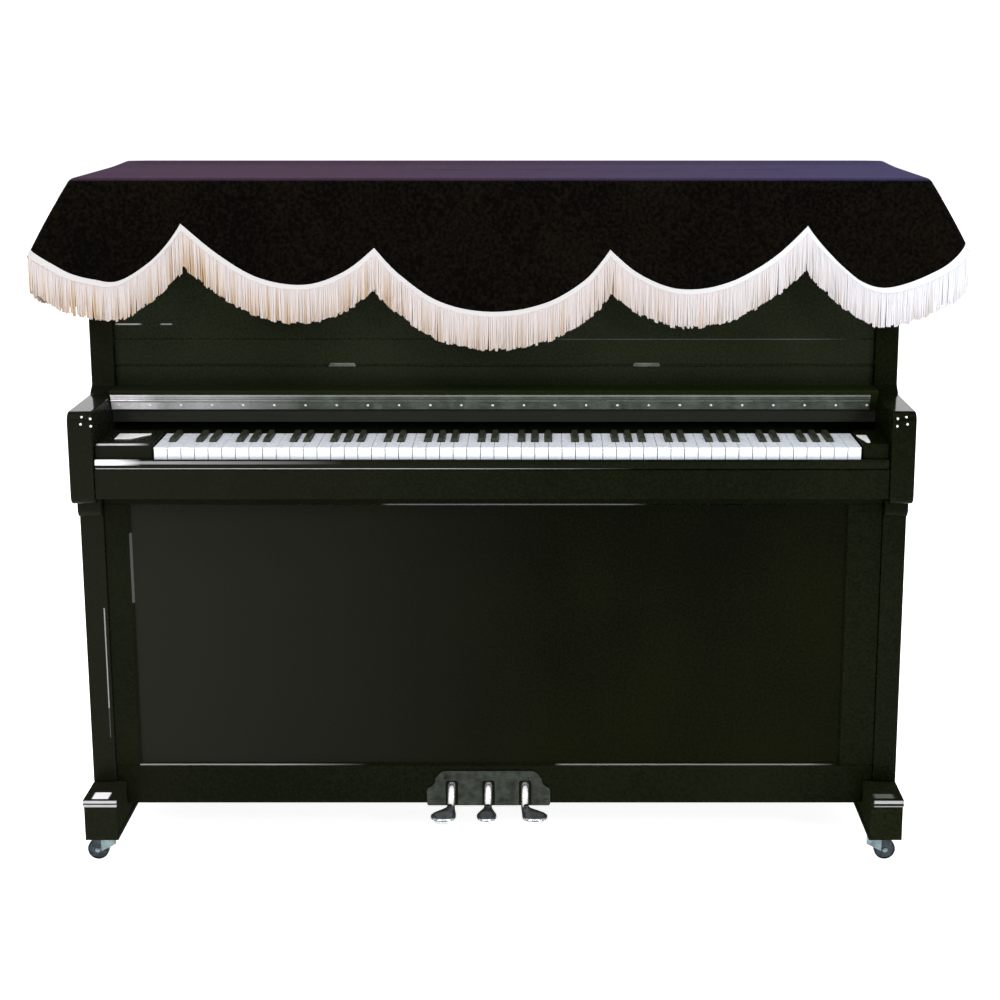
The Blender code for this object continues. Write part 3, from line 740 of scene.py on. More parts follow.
def on_curve(points: Sequence[Flat], at: float) -> float:
    """The height at a place on the smooth curve through (place, height) points."""
    slopes = [(v - u) / (q - p) for (p, u), (q, v) in zip(points, points[2:])]
    first, last = [
        1.5 * (v - u) / (q - p) - 0.5 * slope
        for (p, u), (q, v), slope in ((*points[:2], slopes[0]), (*points[-2:], slopes[-1]))
    ]
    slopes = [first, *slopes, last]
    i = max(j for j in range(len(points) - 1) if j == 0 or points[j][0] <= at)
    (start, low), (end, high) = points[i : i + 2]
    run = end - start
    share = (at - start) / run
    from_start = low * (1 + 2 * share) + run * slopes[i] * share
    from_end = high * (3 - 2 * share) - run * slopes[i + 1] * (1 - share)
    return from_start * (1 - share) ** 2 + from_end * share**2


# ---- the cover ----


@dataclass
class CoverShape:
    """The surface in which the cover hangs.

    A place on the rim is its distance s from the middle of the front, positive to the right,
    and a place on the hanging cloth is (s, h), with h its drop below the top. The hem runs through
    sags between peaks. flares are the reach and the spread of the spare cloth at each corner, and
    folds are soft folds, each with its place on the rim, its reach and its half width.
    """

    rim_x: float = 0.7595
    rim_y: float = 0.2145
    corner: float = 0.012
    rise: float = 0.0023
    edge_round: float = 0.009
    edge_puff: float = 0.0017
    back_drop: float = 0.085
    back_corner_drop: float = 0.104
    back_blend: float = 0.05
    back_roll: float = 0.0042
    ear_ease: float = 1.1
    ear_narrow: float = 0.022
    ear_zone: float = 0.1
    fold_depth: float = 0.2
    ripple: float = 0.0007
    nudge: float = 0.004
    corner_peaks: tuple[float, ...] = (0.105, 0.119, 0.108, 0.103)
    front_peaks: Outline = (
        (-0.566, 0.0788), (-0.224, 0.1222), (0.1955, 0.1253), (0.545, 0.0831),
    )
    sags: tuple[Outline, ...] = (
        ((-0.945, 0.176),),
        (
            (-0.715, 0.1426), (-0.685, 0.1603), (-0.655, 0.1711),
            (-0.625, 0.1749), (-0.6, 0.1461), (-0.58, 0.1053),
        ),
        ((-0.5, 0.1323), (-0.43, 0.1726), (-0.35, 0.1873), (-0.28, 0.165)),
        ((-0.18, 0.1691), (-0.11, 0.216), (-0.02, 0.2349), (0.07, 0.2233), (0.15, 0.1791)),
        ((0.25, 0.17), (0.32, 0.1947), (0.4, 0.1838), (0.48, 0.1423)),
        (
            (0.575, 0.1263), (0.59, 0.1526), (0.605, 0.177), (0.625, 0.1868),
            (0.655, 0.1786), (0.69, 0.1599), (0.72, 0.1403),
        ),
        ((0.96, 0.18),),
    )
    flares: Outline = ((0.23, 0.6), (0.8, 0.82), (0.815, 0.74), (0.23, 0.66))
    folds: tuple[Solid, ...] = (
        (-0.56, -0.008, 0.04), (-0.43, 0.009, 0.06), (-0.215, -0.007, 0.045),
        (-0.06, 0.008, 0.07), (0.12, 0.006, 0.05), (0.225, -0.007, 0.045),
        (0.39, 0.01, 0.065), (0.56, -0.008, 0.04), (-0.96, 0.008, 0.05),
        (0.955, 0.009, 0.055),
    )

    def __post_init__(self) -> None:
        """Works out the rim's lengths, and sets the corners and the hem on it."""
        self.top = LID_TOP + self.rise
        self.front = self.rim_x - self.corner
        self.side = self.rim_y - self.corner
        self.arc = self.corner * math.pi / 2
        self.length = 4 * (self.front + self.side + self.arc)
        near = self.front + self.arc / 2
        self.far = near + 2 * self.side + self.arc
        self.corners = (-self.far, -near, near, self.far)
        ends = list(zip(self.corners, self.corner_peaks))
        peaks = [*ends[:2], *self.front_peaks, *ends[2:]]
        self.peaks = [s for s, _ in peaks]
        self.scallops = [(a, *sag, b) for a, sag, b in zip(peaks, self.sags, peaks[1:])]

    def rim(self, s: float) -> tuple[Vector, Vector]:
        """The place on the rim at s, and the way out from it, both in plan."""
        turn = 1 if s >= 0 else -1
        left = abs(s)
        x, y, angle = 0.0, -self.side, 0.0
        for run, way in ((self.front, (1, 0)), (2 * self.side, (0, 1)), (self.front, (-1, 0))):
            gone = min(left, run)
            x += way[0] * gone
            y += way[1] * gone
            left -= gone
            bend = min(left, self.arc)
            angle += bend / self.corner
            left -= bend
        out = Vector((turn * math.sin(angle), -math.cos(angle)))
        return Vector((turn * x, y)) + out * self.corner, out

    def hanging(self, s: float, h: float) -> Vector:
        """The outer face of the hanging cloth at (s, h)."""
        at, out = self.rim(s)
        for corner, (flare, spread) in zip(self.corners, self.flares):
            if s * corner <= 0:
                continue
            width = self.ear_narrow + spread * h
            reach = flare * h / (1 + self.ear_ease * h)
            _, diagonal = self.rim(corner)
            at = at + diagonal * reach * math.exp(-(((s - corner) / width) ** 2))
        growth = min(h / self.fold_depth, 1.2)
        for place, reach, spread in self.folds:
            at = at + out * reach * growth * math.exp(-(((s - place) / spread) ** 2))
        swell = math.sin(61 * s + 9 * h) + 0.6 * math.sin(113 * s - 17 * h + 1.3)
        at = at + out * self.ripple * growth * swell
        return Vector((LID_CENTRE + at.x, at.y, self.top - h))

    def outward(self, s: float, h: float) -> Vector:
        """The way out of the hanging cloth at (s, h), square to its face."""
        step = self.nudge
        along = self.hanging(s + step, h) - self.hanging(s - step, h)
        down = self.hanging(s, h + step) - self.hanging(s, h - step)
        return down.cross(along).normalized()

    def hem_drop(self, s: float) -> float:
        """How far the hem hangs below the top at s."""
        if abs(s) >= self.far:
            blend = min((abs(s) - self.far) / self.back_blend, 1.0)
            return self.back_corner_drop + (self.back_drop - self.back_corner_drop) * blend
        return on_curve(next(one for one in self.scallops if s <= one[-1][0]), s)

    def hem(self, s: float) -> Vector:
        """The point of the hem at s."""
        return self.hanging(s, self.hem_drop(s))

    def hem_lean(self, s: float) -> float:
        """How steeply the hem runs at s, as its fall over its run in plan."""
        step = self.nudge
        lower_left = self.hem_drop(s - step) > self.hem_drop(s + step)
        gone = self.hem(s - step if lower_left else s + step) - self.hem(s)
        return abs(gone.z) / math.hypot(gone.x, gone.y)

    def stations(self, step: float, near_ear: float) -> list[float]:
        """Places all the way round the rim, closer together near the ears.

        Args:
            step: How far apart they are at most.
            near_ear: How far apart they are at most near an ear.

        Returns:
            The places, which hold every peak.
        """
        marks = [-self.length / 2, *self.peaks, self.length / 2]
        for corner in self.corners:
            marks += [corner + way * d for way in (-1, 1) for d in (self.ear_zone, self.arc / 2)]
        marks = sorted({round(mark, 6) for mark in marks})
        found = []
        for start, end in zip(marks, marks[1:]):
            middle = (start + end) / 2
            close = min(abs(middle - corner) for corner in self.corners) < self.ear_zone
            count = max(1, math.ceil((end - start) / (near_ear if close else step)))
            found += [start + (end - start) * i / count for i in range(count)]
        return found

    def flat_area(self) -> float:
        """The area of the flat cut, from the top, the hanging borders and the corners."""
        places = self.stations(0.01, 0.01) + [self.length / 2]
        borders = sum(
            (after - before) * (self.hem_drop(before) + self.hem_drop(after)) / 2
            for before, after in zip(places, places[1:])
        )
        corners = sum(self.hem_drop(corner) ** 2 for corner in self.corners)
        return 4 * self.rim_x * self.rim_y + borders + corners


@dataclass
class Cloth:
    """The velvet, cut in one with its hem, which runs on behind the trimming's heading."""

    shape: CoverShape
    thick: float = 0.0018
    tuck: float = 0.007
    step: float = 0.0065
    ear_step: float = 0.0042
    edge_steps: int = 7
    drop_steps: int = 30
    slope: float = 0.036
    roll_lead: float = 0.16
    roll_run: float = 0.22
    settled: float = 0.0003
    settle_run: float = 0.075
    insets: tuple[float, ...] = (0.19, 0.15, 0.11, 0.075, 0.045, 0.026, 0.015)
    lows: Solid = (-0.945, 0.96, 0.002)

    def column(self, s: float) -> list[Vector]:
        """One column of the cloth, from the middle of the top over the edge to the hem."""
        shape, edge = self.shape, self.shape.edge_round
        at, out = shape.rim(s)
        towards_back = smooth((abs(s) - shape.far + self.roll_lead) / self.roll_run)
        puff = shape.edge_puff + shape.back_roll * towards_back
        found = []
        for inset in self.insets:
            x = LID_CENTRE + at.x * (1 - inset / shape.rim_x)
            y = at.y * (1 - inset / shape.rim_y)
            settle = self.settled * (math.sin(9 * x + 4 * y) + math.sin(23 * x - 31 * y + 0.7))
            rise = puff * smooth(1 - (inset - edge) / self.slope)
            rise += abs(settle) * smooth(inset / self.settle_run)
            found.append(Vector((x, y, shape.top + rise)))
        for i in range(self.edge_steps):
            angle = math.pi / 2 * i / self.edge_steps
            inset = edge * (1 - math.sin(angle))
            place = shape.hanging(s, edge * (1 - math.cos(angle)))
            lift = puff * math.cos(angle) ** 0.5
            found.append(place + Vector((-out.x * inset, -out.y * inset, lift)))
        bottom = shape.hem_drop(s) + (self.tuck if abs(s) < shape.far else 0.0)
        for i in range(self.drop_steps + 1):
            found.append(shape.hanging(s, edge + (bottom - edge) * (i / self.drop_steps)))
        return found

    def build(self) -> Object:
        form = Form()
        new_vert, new_face = form.mesh.verts.new, form.mesh.faces.new
        columns = [self.column(s) for s in self.shape.stations(self.step, self.ear_step)]
        rows = [[new_vert(point) for point in column] for column in columns]
        for row, following in zip(rows, rows[1:] + rows[:1]):
            for j in range(len(row) - 1):
                new_face((row[j], row[j + 1], following[j + 1], following[j]))
        new_face([row[0] for row in rows])
        cloth = form.piece("velvet_cover", VELVET, "cover_cloth", sharp=60.0)
        cloth.data.materials.append(dressed(BACKING))
        sheet = cloth.modifiers.new("cloth thickness", "SOLIDIFY")
        sheet.thickness = self.thick
        sheet.offset = -1
        sheet.material_offset = 1
        return cloth

    def flat(self) -> Flat:
        """The width and length of the cloth before it was draped."""
        left, right, front = [self.shape.hem_drop(s) for s in self.lows]
        length = 2 * self.shape.rim_y + front + self.shape.back_drop
        return 2 * self.shape.rim_x + left + right, length


class Lock(NamedTuple):
    """Threads that hang together: their span along the stretch and what they have in common."""

    low: float
    high: float
    lean: float
    depth: float
    longer: float
    tone: float
    gather: float


@dataclass
class Trimming:
    """The fringe: a plaited heading sewn along the hem, and the cut threads that hang from it."""

    shape: CoverShape
    heading: float = 0.0085
    lift: float = 0.0006
    cord: float = 0.0006
    strand: float = 0.22
    underside: Outline = ((0.96, 0.0001), (0.04, 0.0001))
    plait_pitch: float = 0.0042
    plait_step: float = 0.0013
    across: int = 9
    most_turn: float = 1.45
    drop: float = 0.069
    turn_drop: float = 0.018
    overlap: float = 0.003
    pitch: float = 0.0019
    radius: float = 0.001
    taper: float = 0.25
    layers: tuple[float, ...] = (0.0001, 0.0011, 0.0021, 0.0031, 0.004)
    lock: Flat = (0.0032, 0.0066)
    lock_lean: float = 0.0013
    lock_depth: float = 0.001
    lock_longer: Flat = (-0.0034, 0.0022)
    lock_gather: Flat = (0.0, 0.16)
    lock_tone: float = 4.6
    depth_stray: float = 0.0003
    drift_stray: float = 0.0006
    sway: float = 0.0007
    foot_stray: float = 0.0012
    drift_bend: float = 1.5
    depth_bend: float = 1.3
    taper_bend: int = 3
    lock_tint: float = 1.05
    own_tint: float = 0.5
    root_tint: float = 0.3
    tip_tone: float = 0.24
    plait_tone: float = 0.25
    rings: int = 7
    sides: int = 5
    fine: int = 400
    seed: int = 23

    def run(self, start: float, end: float, hem: bool) -> tuple[list[float], list[float]]:
        """Fine places along the hem from start to end, and how far along it each lies.

        Args:
            start: The first place on the rim.
            end: The last.
            hem: Whether the distance follows the hem's slope, or else only its plan.

        Returns:
            The places, and the distances.
        """
        fine = [start + (end - start) * i / self.fine for i in range(self.fine + 1)]
        points = [self.shape.hem(s) for s in fine]
        gone = [0.0]
        for before, after in zip(points, points[1:]):
            step = after - before
            gone.append(gone[-1] + (step.length if hem else math.hypot(step.x, step.y)))
        return fine, gone

    @staticmethod
    def stray(most: float, rng: random.Random) -> float:
        """A random distance either way, so much at most."""
        return rng.uniform(-most, most)

    def deep(self, s: float) -> float:
        """How deep the heading is at s, measured straight down."""
        return self.heading * min(math.hypot(1, self.shape.hem_lean(s)), self.most_turn)

    @staticmethod
    def spaced(fine: Sequence[float], gone: Sequence[float], count: int) -> list[float]:
        """So many places, evenly spaced by distance, with half a space at each end."""
        found, at = [], 0
        for i in range(count):
            wanted = gone[-1] * (i + 0.5) / count
            while gone[at + 1] < wanted:
                at += 1
            share = (wanted - gone[at]) / (gone[at + 1] - gone[at])
            found.append(fine[at] + share * (fine[at + 1] - fine[at]))
        return found

    def plait(self, name: str, start: float, end: float) -> Object:
        """Builds the heading of one stretch, as three cords with strands slanting over them."""
        fine, gone = self.run(start, end, True)
        count = round(gone[-1] / self.plait_step)
        places = [start, *self.spaced(fine, gone, count - 1), end]
        rings = []
        for i, s in enumerate(places):
            run = gone[-1] * i / (len(places) - 1)
            section = []
            for j in range(self.across):
                share = j / (self.across - 1)
                lobe = abs(math.sin(3 * math.pi * share)) ** 0.6
                way = -1 if 1 / 3 < share < 2 / 3 else 1
                turn = 2 * math.pi * (run / self.plait_pitch + way * 1.5 * share)
                height = lobe * self.cord * (1 - self.strand + self.strand * math.sin(turn))
                section.append((share, self.lift + height))
            hem, deep = self.shape.hem_drop(s), self.deep(s)
            ring = []
            for share, height in (*section, *self.underside):
                h = hem + deep * share
                ring.append(self.shape.hanging(s, h) + self.shape.outward(s, h) * height)
            rings.append(ring)
        form = Form().loft(rings)
        layer = form.mesh.verts.layers.float.new("tone")
        rng = random.Random(self.seed)
        for vert in form.mesh.verts:
            vert[layer] = self.plait_tone * rng.random()
        return form.piece(f"heading_{name}", PLAIT, sharp=80.0)

    def locks(self, length: float, rng: random.Random) -> list[Lock]:
        """Splits a stretch into locks, each with its own lean, depth, length and tone."""
        found, at = [], 0.0
        while at < length:
            high = at + rng.uniform(*self.lock)
            lean = self.stray(self.lock_lean, rng)
            depth = self.stray(self.lock_depth, rng)
            longer = rng.uniform(*self.lock_longer)
            tone = rng.random() ** self.lock_tone
            found.append(Lock(at, high, lean, depth, longer, tone, rng.uniform(*self.lock_gather)))
            at = high
        return found

    def threads(self, name: str, start: float, end: float, rng: random.Random) -> Object:
        """Builds the hanging threads of one stretch."""
        fine, gone = self.run(start, end, False)
        locks = self.locks(gone[-1], rng)
        form = Form()
        layer = form.mesh.verts.layers.float.new("tone")
        count = round(gone[-1] / self.pitch)
        places = self.spaced(fine, gone, count)
        for depth in self.layers:
            for i, s in enumerate(places):
                run = gone[-1] * (i + rng.random()) / count
                lock = next(one for one in locks if run < one.high + 1e-6)
                self.thread(form, layer, s, run, depth, lock, rng)
        return form.piece(f"threads_{name}", THREAD, f"fringe_{name}", sharp=80.0)

    def thread(
        self,
        form: Form,
        layer: bmesh.types.BMLayerItem,
        s: float,
        run: float,
        depth: float,
        lock: Lock,
        rng: random.Random,
    ) -> None:
        """Adds one thread.

        Args:
            form: The form that it is added to.
            layer: The layer that holds each vertex's tone.
            s: Its place on the rim.
            run: How far along the stretch it is.
            depth: How far in from the cloth's outer face it hangs.
            lock: Its lock.
            rng: The random draws.
        """
        shape = self.shape
        hem, deep = shape.hem_drop(s), self.deep(s)
        out = shape.outward(s, hem + deep)
        level = Vector((out.x, out.y, 0)).normalized()
        along = Vector((-level.y, level.x, 0))
        root = shape.hanging(s, hem + deep - self.overlap)
        root -= level * (depth + self.stray(self.depth_stray, rng))
        middle = (lock.low + lock.high) / 2
        drift = (middle - run) * lock.gather + lock.lean + self.stray(self.drift_stray, rng)
        sway = self.stray(self.sway, rng)
        turned_down = self.turn_drop * (math.hypot(1, shape.hem_lean(s)) - 1)
        foot = shape.top - hem - self.drop - turned_down - lock.longer
        foot -= self.stray(self.foot_stray, rng)
        tone = min(1.0, self.lock_tint * lock.tone + self.own_tint * rng.random() ** 2)
        turn = rng.uniform(0, math.pi)
        angles = [turn + 2 * math.pi * k / self.sides for k in range(self.sides)]
        rings = []
        for i in range(self.rings):
            share = i / (self.rings - 1)
            aside = drift * share**self.drift_bend + sway * math.sin(math.pi * share)
            place = root + along * aside + level * lock.depth * share**self.depth_bend
            place.z = root.z + (foot - root.z) * share
            radius = self.radius * (1.0 - self.taper * share**self.taper_bend)
            rings.append(
                [place + (along * math.cos(a) + level * math.sin(a)) * radius for a in angles]
            )
        before = len(form.mesh.verts)
        form.loft(rings)
        form.mesh.verts.ensure_lookup_table()
        for k in range(before, len(form.mesh.verts)):
            share = (k - before) // self.sides / (self.rings - 1)
            tint = self.root_tint + (1 - self.root_tint) * share
            form.mesh.verts[k][layer] = tone * tint + self.tip_tone * share

    def build(self) -> list[Object]:
        """Builds every stretch of the trimming."""
        rng = random.Random(self.seed)
        peaks = self.shape.peaks
        names = ["left", *(f"front_{i}" for i in range(1, len(peaks) - 2)), "right"]
        found = []
        for name, start, end in zip(names, peaks, peaks[1:]):
            found.append(self.threads(name, start, end, rng))
            found.append(self.plait(name, start, end))
        return found


# ---- the piano ----


@dataclass
class Case:
    """The piano's case: sides with their arms, toes, lid, panels and the boards between."""

    gap: float = 0.0003
    half: float = 0.7375
    side_thick: float = 0.042
    back: float = 0.19
    top: float = 1.1957
    upper: float = -0.162
    shoulder: float = 0.85
    arm_front: float = -0.344
    arm_top: float = 0.833
    arm_under: float = 0.667
    arm_round: float = 0.016
    bed_top: float = 0.7308
    lower: float = -0.29
    toe_front: float = -0.372
    toe_top: float = 0.128
    toe_under: float = 0.05
    toe_width: float = 0.06
    toe_moulding: float = 0.0145
    toe_round: float = 0.0034
    bottom: Flat = (0.085, 0.105)
    panel_front: float = -0.286
    panel_thick: float = 0.022
    panel_foot: float = 0.159
    field_x: Flat = (-0.652, 0.634)
    field_top: float = 0.655
    flap_foot: float = 0.8795
    flap_top: float = 0.9304
    flap_gap: float = 0.0037
    flap_hinges: Flat = (-0.2787, 0.2788)
    screws: Outline = (
        (0.0225, 0.8245), (0.0375, 0.822), (0.0205, 0.8125), (0.038, 0.809),
    )

    def __post_init__(self) -> None:
        """Works out the spaces between the sides and between the toes."""
        inner = self.half - self.side_thick - self.gap
        self.span = (-inner, inner)
        self.toes = (self.toe_width - self.half + self.gap, self.half - self.toe_width - self.gap)
        self.foot = self.toe_top + self.gap

    def side_outline(self) -> list[Flat]:
        """The side of the case with its arm, as (y, z) points."""
        nose = self.arm_front + self.arm_round
        knee = self.lower - 0.014
        step = self.arm_under - 0.022
        return [
            (self.back, self.foot),
            (self.back, self.top),
            (self.upper, self.top),
            (self.upper, self.shoulder),
            *(
                (self.upper - 0.014 * smooth(i / 5), self.shoulder - 0.015 * i / 5)
                for i in range(1, 5)
            ),
            (self.upper - 0.016, self.arm_top + 0.0008),
            (self.upper - 0.03, self.arm_top),
            *arc((nose, self.arm_top - self.arm_round), self.arm_round, 90, 180, 10),
            *arc((nose, self.arm_under + self.arm_round), self.arm_round, 180, 270, 10),
            (knee, self.arm_under),
            (knee, step),
            *arc((self.lower, step), 0.012, 205, 268, 4),
            (self.lower, self.foot),
        ]

    def sides(self) -> None:
        """Builds the two sides and the toes under them."""
        for name, side in (("left", -1), ("right", 1)):
            span = sorted((side * self.half, side * (self.half - self.side_thick)))
            form = Form().drawn(Axis.X, self.side_outline(), *span)
            form.piece(f"case_{name}", SIDE, f"side_{name}", edge=0.0022, steps=3)
            self.toe(name, side)
            self.arm_screws(name, side)

    def toe(self, name: str, side: int) -> None:
        """Builds one toe: a block under a moulding with two rounds."""
        outer = side * self.half
        inner = outer - side * self.toe_width
        under = self.toe_top - self.toe_moulding
        front, bead = self.toe_front, self.toe_round
        block = sorted((outer - side * 0.001, inner + side * 0.001))
        step = sorted((inner + side * 0.0008, inner - side * 0.0005))
        cap = [
            (self.back, self.toe_top),
            *arc((front + bead, self.toe_top - bead), bead, 90, 215, 7),
            *arc((front + 0.0036, self.toe_top - 0.0106), bead, 145, 270, 7),
            (self.back, under + 0.0002),
        ]
        form = Form().box(block, (front + 0.003, self.back), (self.toe_under, under))
        form.box(step, (front + bead, self.back), (self.toe_under, self.toe_under + 0.011))
        form.drawn(Axis.X, cap, *sorted((outer, inner)))
        form.piece(f"toe_block_{name}", TOE, f"toe_{name}", edge=0.0008)

    def arm_screws(self, name: str, side: int) -> None:
        """Builds the four small domed screws in the front of one arm."""
        form = Form()
        dome = [(0.0, 0.0), (0.0, 0.0023), (0.0007, 0.002), (0.0013, 0.0012), (0.0015, 0.0)]
        for inset, z in self.screws:
            rise = max(z - (self.arm_top - self.arm_round), 0.0)
            back = self.arm_round - math.sqrt(self.arm_round**2 - rise**2)
            x = side * (self.half - inset) + 0.004
            form.turned(Vector((x, self.arm_front + back + 0.0004, z)), FRONT, dome, 16)
        # The screw heads are painted near white, a painted highlight.
        form.piece(f"arm_screws_{name}", BRIGHT)

    def boards(self) -> None:
        """Builds the key bed, the key slip, and the boards of the back and the bottom."""
        front, back = self.arm_front + 0.004, self.back - 0.022
        span, bed = self.span, self.bed_top
        depth, height = (-0.262, back - self.gap), (self.foot, self.top)
        plain = (
            ("bed", "key_bed", LACQUER, span, (front, -0.1), (0.677, bed - self.gap), 0.0022),
            ("slip", "key_slip", SLIP, span, (front, -0.3313), (bed, 0.748), 0.0038),
            ("floor_board", "bottom_board", SATIN, self.toes, depth, self.bottom, 0.0015),
            ("back_panel", "back_board", SATIN, span, (back, self.back), height, 0.0015),
        )
        for name, node, finish, x, y, z, edge in plain:
            Form().box(x, y, z).piece(name, finish, node, edge=edge, steps=3)

    def rail(self) -> None:
        """Builds the rail between the toes, which runs on up to the lower panel's field."""
        low, high = self.bottom[0], self.panel_foot - self.gap
        left, right = self.toes
        start, end = self.span
        outline = [(left, low), (right, low), (right, self.foot), (end, self.foot)]
        outline += [(end, high), (start, high), (start, self.foot), (left, self.foot)]
        form = Form().drawn(Axis.Y, outline, self.panel_front, self.panel_front + self.panel_thick)
        form.piece("rail", FRAME, "bottom_rail", edge=0.0013)

    def upper_panel(self) -> None:
        """Builds the upper panel with the music rest's flap above it, and the flap's hinges."""
        bed, foot, top = self.bed_top, self.flap_foot, self.flap_top
        form = Form().box(self.span, (-0.147, -0.128), (bed, self.top))
        for z in ((bed, foot), (foot + self.flap_gap, top)):
            form.box(self.span, (-0.15, -0.1468), z)
        form.box(self.span, (-0.1493, -0.1467), (top, self.top))
        form.piece("music_panel", REST, "upper_panel", edge=0.0012)
        form = Form()
        for x in self.flap_hinges:
            form.turned(Vector((x - 0.0245, -0.1502, 0.8812)), RIGHT, rod(0.049, 0.0024), 12)
            form.box((x - 0.0225, x + 0.0225), (-0.1512, -0.1499), (0.8812, 0.8862))
        form.piece("rest_hinges", NICKEL)

    def lower_panel(self) -> None:
        """Builds the framed lower panel, with its field set back inside a small bead."""
        front = self.panel_front
        left, right = self.field_x
        field_z = (self.panel_foot, self.field_top)
        stiles = (
            (self.span, (self.field_top, 0.6767)),
            ((self.span[0], left), field_z),
            ((right, self.span[1]), field_z),
        )
        form = Form()
        for x, z in stiles:
            form.box(x, (front, front + self.panel_thick), z)
        form.piece("lower_frame", FRAME, "lower_panel", edge=0.001)
        form = Form().box(self.field_x, (front + 0.006, front + 0.02), field_z)
        form.piece("lower_field", PANEL)
        form = Form()
        bead = [(front + 0.0003, 0.0), (front + 0.006, 0.0038), (front + 0.006, 0.0)]
        for place, way in zip(field_z, (1, -1)):
            form.drawn(Axis.X, [(y, place + way * z) for y, z in bead], *self.field_x)
        for place, way in zip(self.field_x, (1, -1)):
            form.drawn(Axis.Z, [(place + way * z, y) for y, z in bead], *field_z)
        form.piece("panel_bead", SILL, sharp=20.0)

    def build(self) -> None:
        """Builds the case."""
        self.sides()
        self.boards()
        self.rail()
        self.upper_panel()
        self.lower_panel()
        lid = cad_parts["lid"].data
        lid.materials.clear()
        lid.materials.append(dressed(LACQUER))


@dataclass
class Fallboard:
    """The open fallboard behind the keys, with the long hinge of its folded lip.

    leaves are the hinge's flat strips: how far up the lip each begins and ends, by share. bead is
    the raised strip at the upper leaf's edge, as shares up the lip and heights off it.
    """

    half: float = 0.6952
    back: float = -0.16
    foot: float = 0.783
    face: Flat = (-0.186, -0.19)
    lip: Flat = (-0.196, 0.808)
    nose: Flat = (-0.209, 0.842)
    nose_round: float = 0.004
    top: float = 0.846
    hinge_x: Flat = (-0.6935, 0.681)
    leaves: Outline = ((0.04, 0.47), (0.6, 0.845))
    leaf_thick: float = 0.0009
    bead: Outline = ((0.76, 0.0), (0.78, 0.0018), (0.86, 0.0018), (0.86, 0.0))
    barrel: float = 0.535
    barrel_radius: float = 0.0017
    barrel_proud: float = 0.0014
    knuckle: float = 0.03
    knuckle_gap: float = 0.0006
    first_screw: float = 0.0126
    screw_pitch: float = 0.05655
    screw_row: float = 0.27
    screw_proud: float = 0.0008

    def build(self) -> None:
        """Builds the board and its hinge."""
        nose_y, nose_z = self.nose
        section = [
            (self.back, self.foot),
            (self.face[0], self.foot),
            (self.face[1], self.lip[1]),
            self.lip,
            self.nose,
            *arc((nose_y + self.nose_round, nose_z), self.nose_round, 170, 90, 6),
            (self.back, self.top),
        ]
        form = Form().drawn(Axis.X, section, -self.half, self.half)
        form.piece("fallboard_lip", LIP, "fallboard", edge=0.0008)
        self.hinge()

    def on_lip(self, share: float, proud: float) -> Flat:
        """A (y, z) point up the lip's leaning face, and so far proud of it."""
        lip, nose = Vector(self.lip), Vector(self.nose)
        run = nose - lip
        return tuple(lip + run * share + Vector((-run.y, run.x)).normalized() * proud)

    def hinge(self) -> None:
        """Builds the long hinge: two leaves, a knuckled barrel between them, and screws."""
        start, end = self.hinge_x
        thick = self.leaf_thick
        strips = [
            ((low, 0.0), (low, thick), (high, thick), (high, 0.0)) for low, high in self.leaves
        ]
        form = Form()
        for strip in (*strips, self.bead):
            form.drawn(Axis.X, [self.on_lip(*pair) for pair in strip], start, end)
        count = round((end - start) / self.knuckle)
        length = (end - start) / count
        for i in range(count):
            at = Vector((start + length * i, *self.on_lip(self.barrel, self.barrel_proud)))
            form.turned(at, RIGHT, rod(length - self.knuckle_gap, self.barrel_radius), 12)
        form.piece("long_hinge", NICKEL, sharp=30.0)
        form = Form()
        out = Vector((0.0, *self.on_lip(0.0, 1.0))) - Vector((0.0, *self.on_lip(0.0, 0.0)))
        dome = [(0.0, 0.0), (0.0, 0.0025), (0.0005, 0.0022), (0.0011, 0.0013), (0.0014, 0.0)]
        for i in range(int((end - start - self.first_screw) / self.screw_pitch) + 1):
            x = start + self.first_screw + self.screw_pitch * i
            at = Vector((x, *self.on_lip(self.screw_row, self.screw_proud)))
            form.turned(at, out, dome, 14)
        # The screw heads are painted near white, a painted highlight.
        form.piece("hinge_screws", BRIGHT, sharp=30.0)


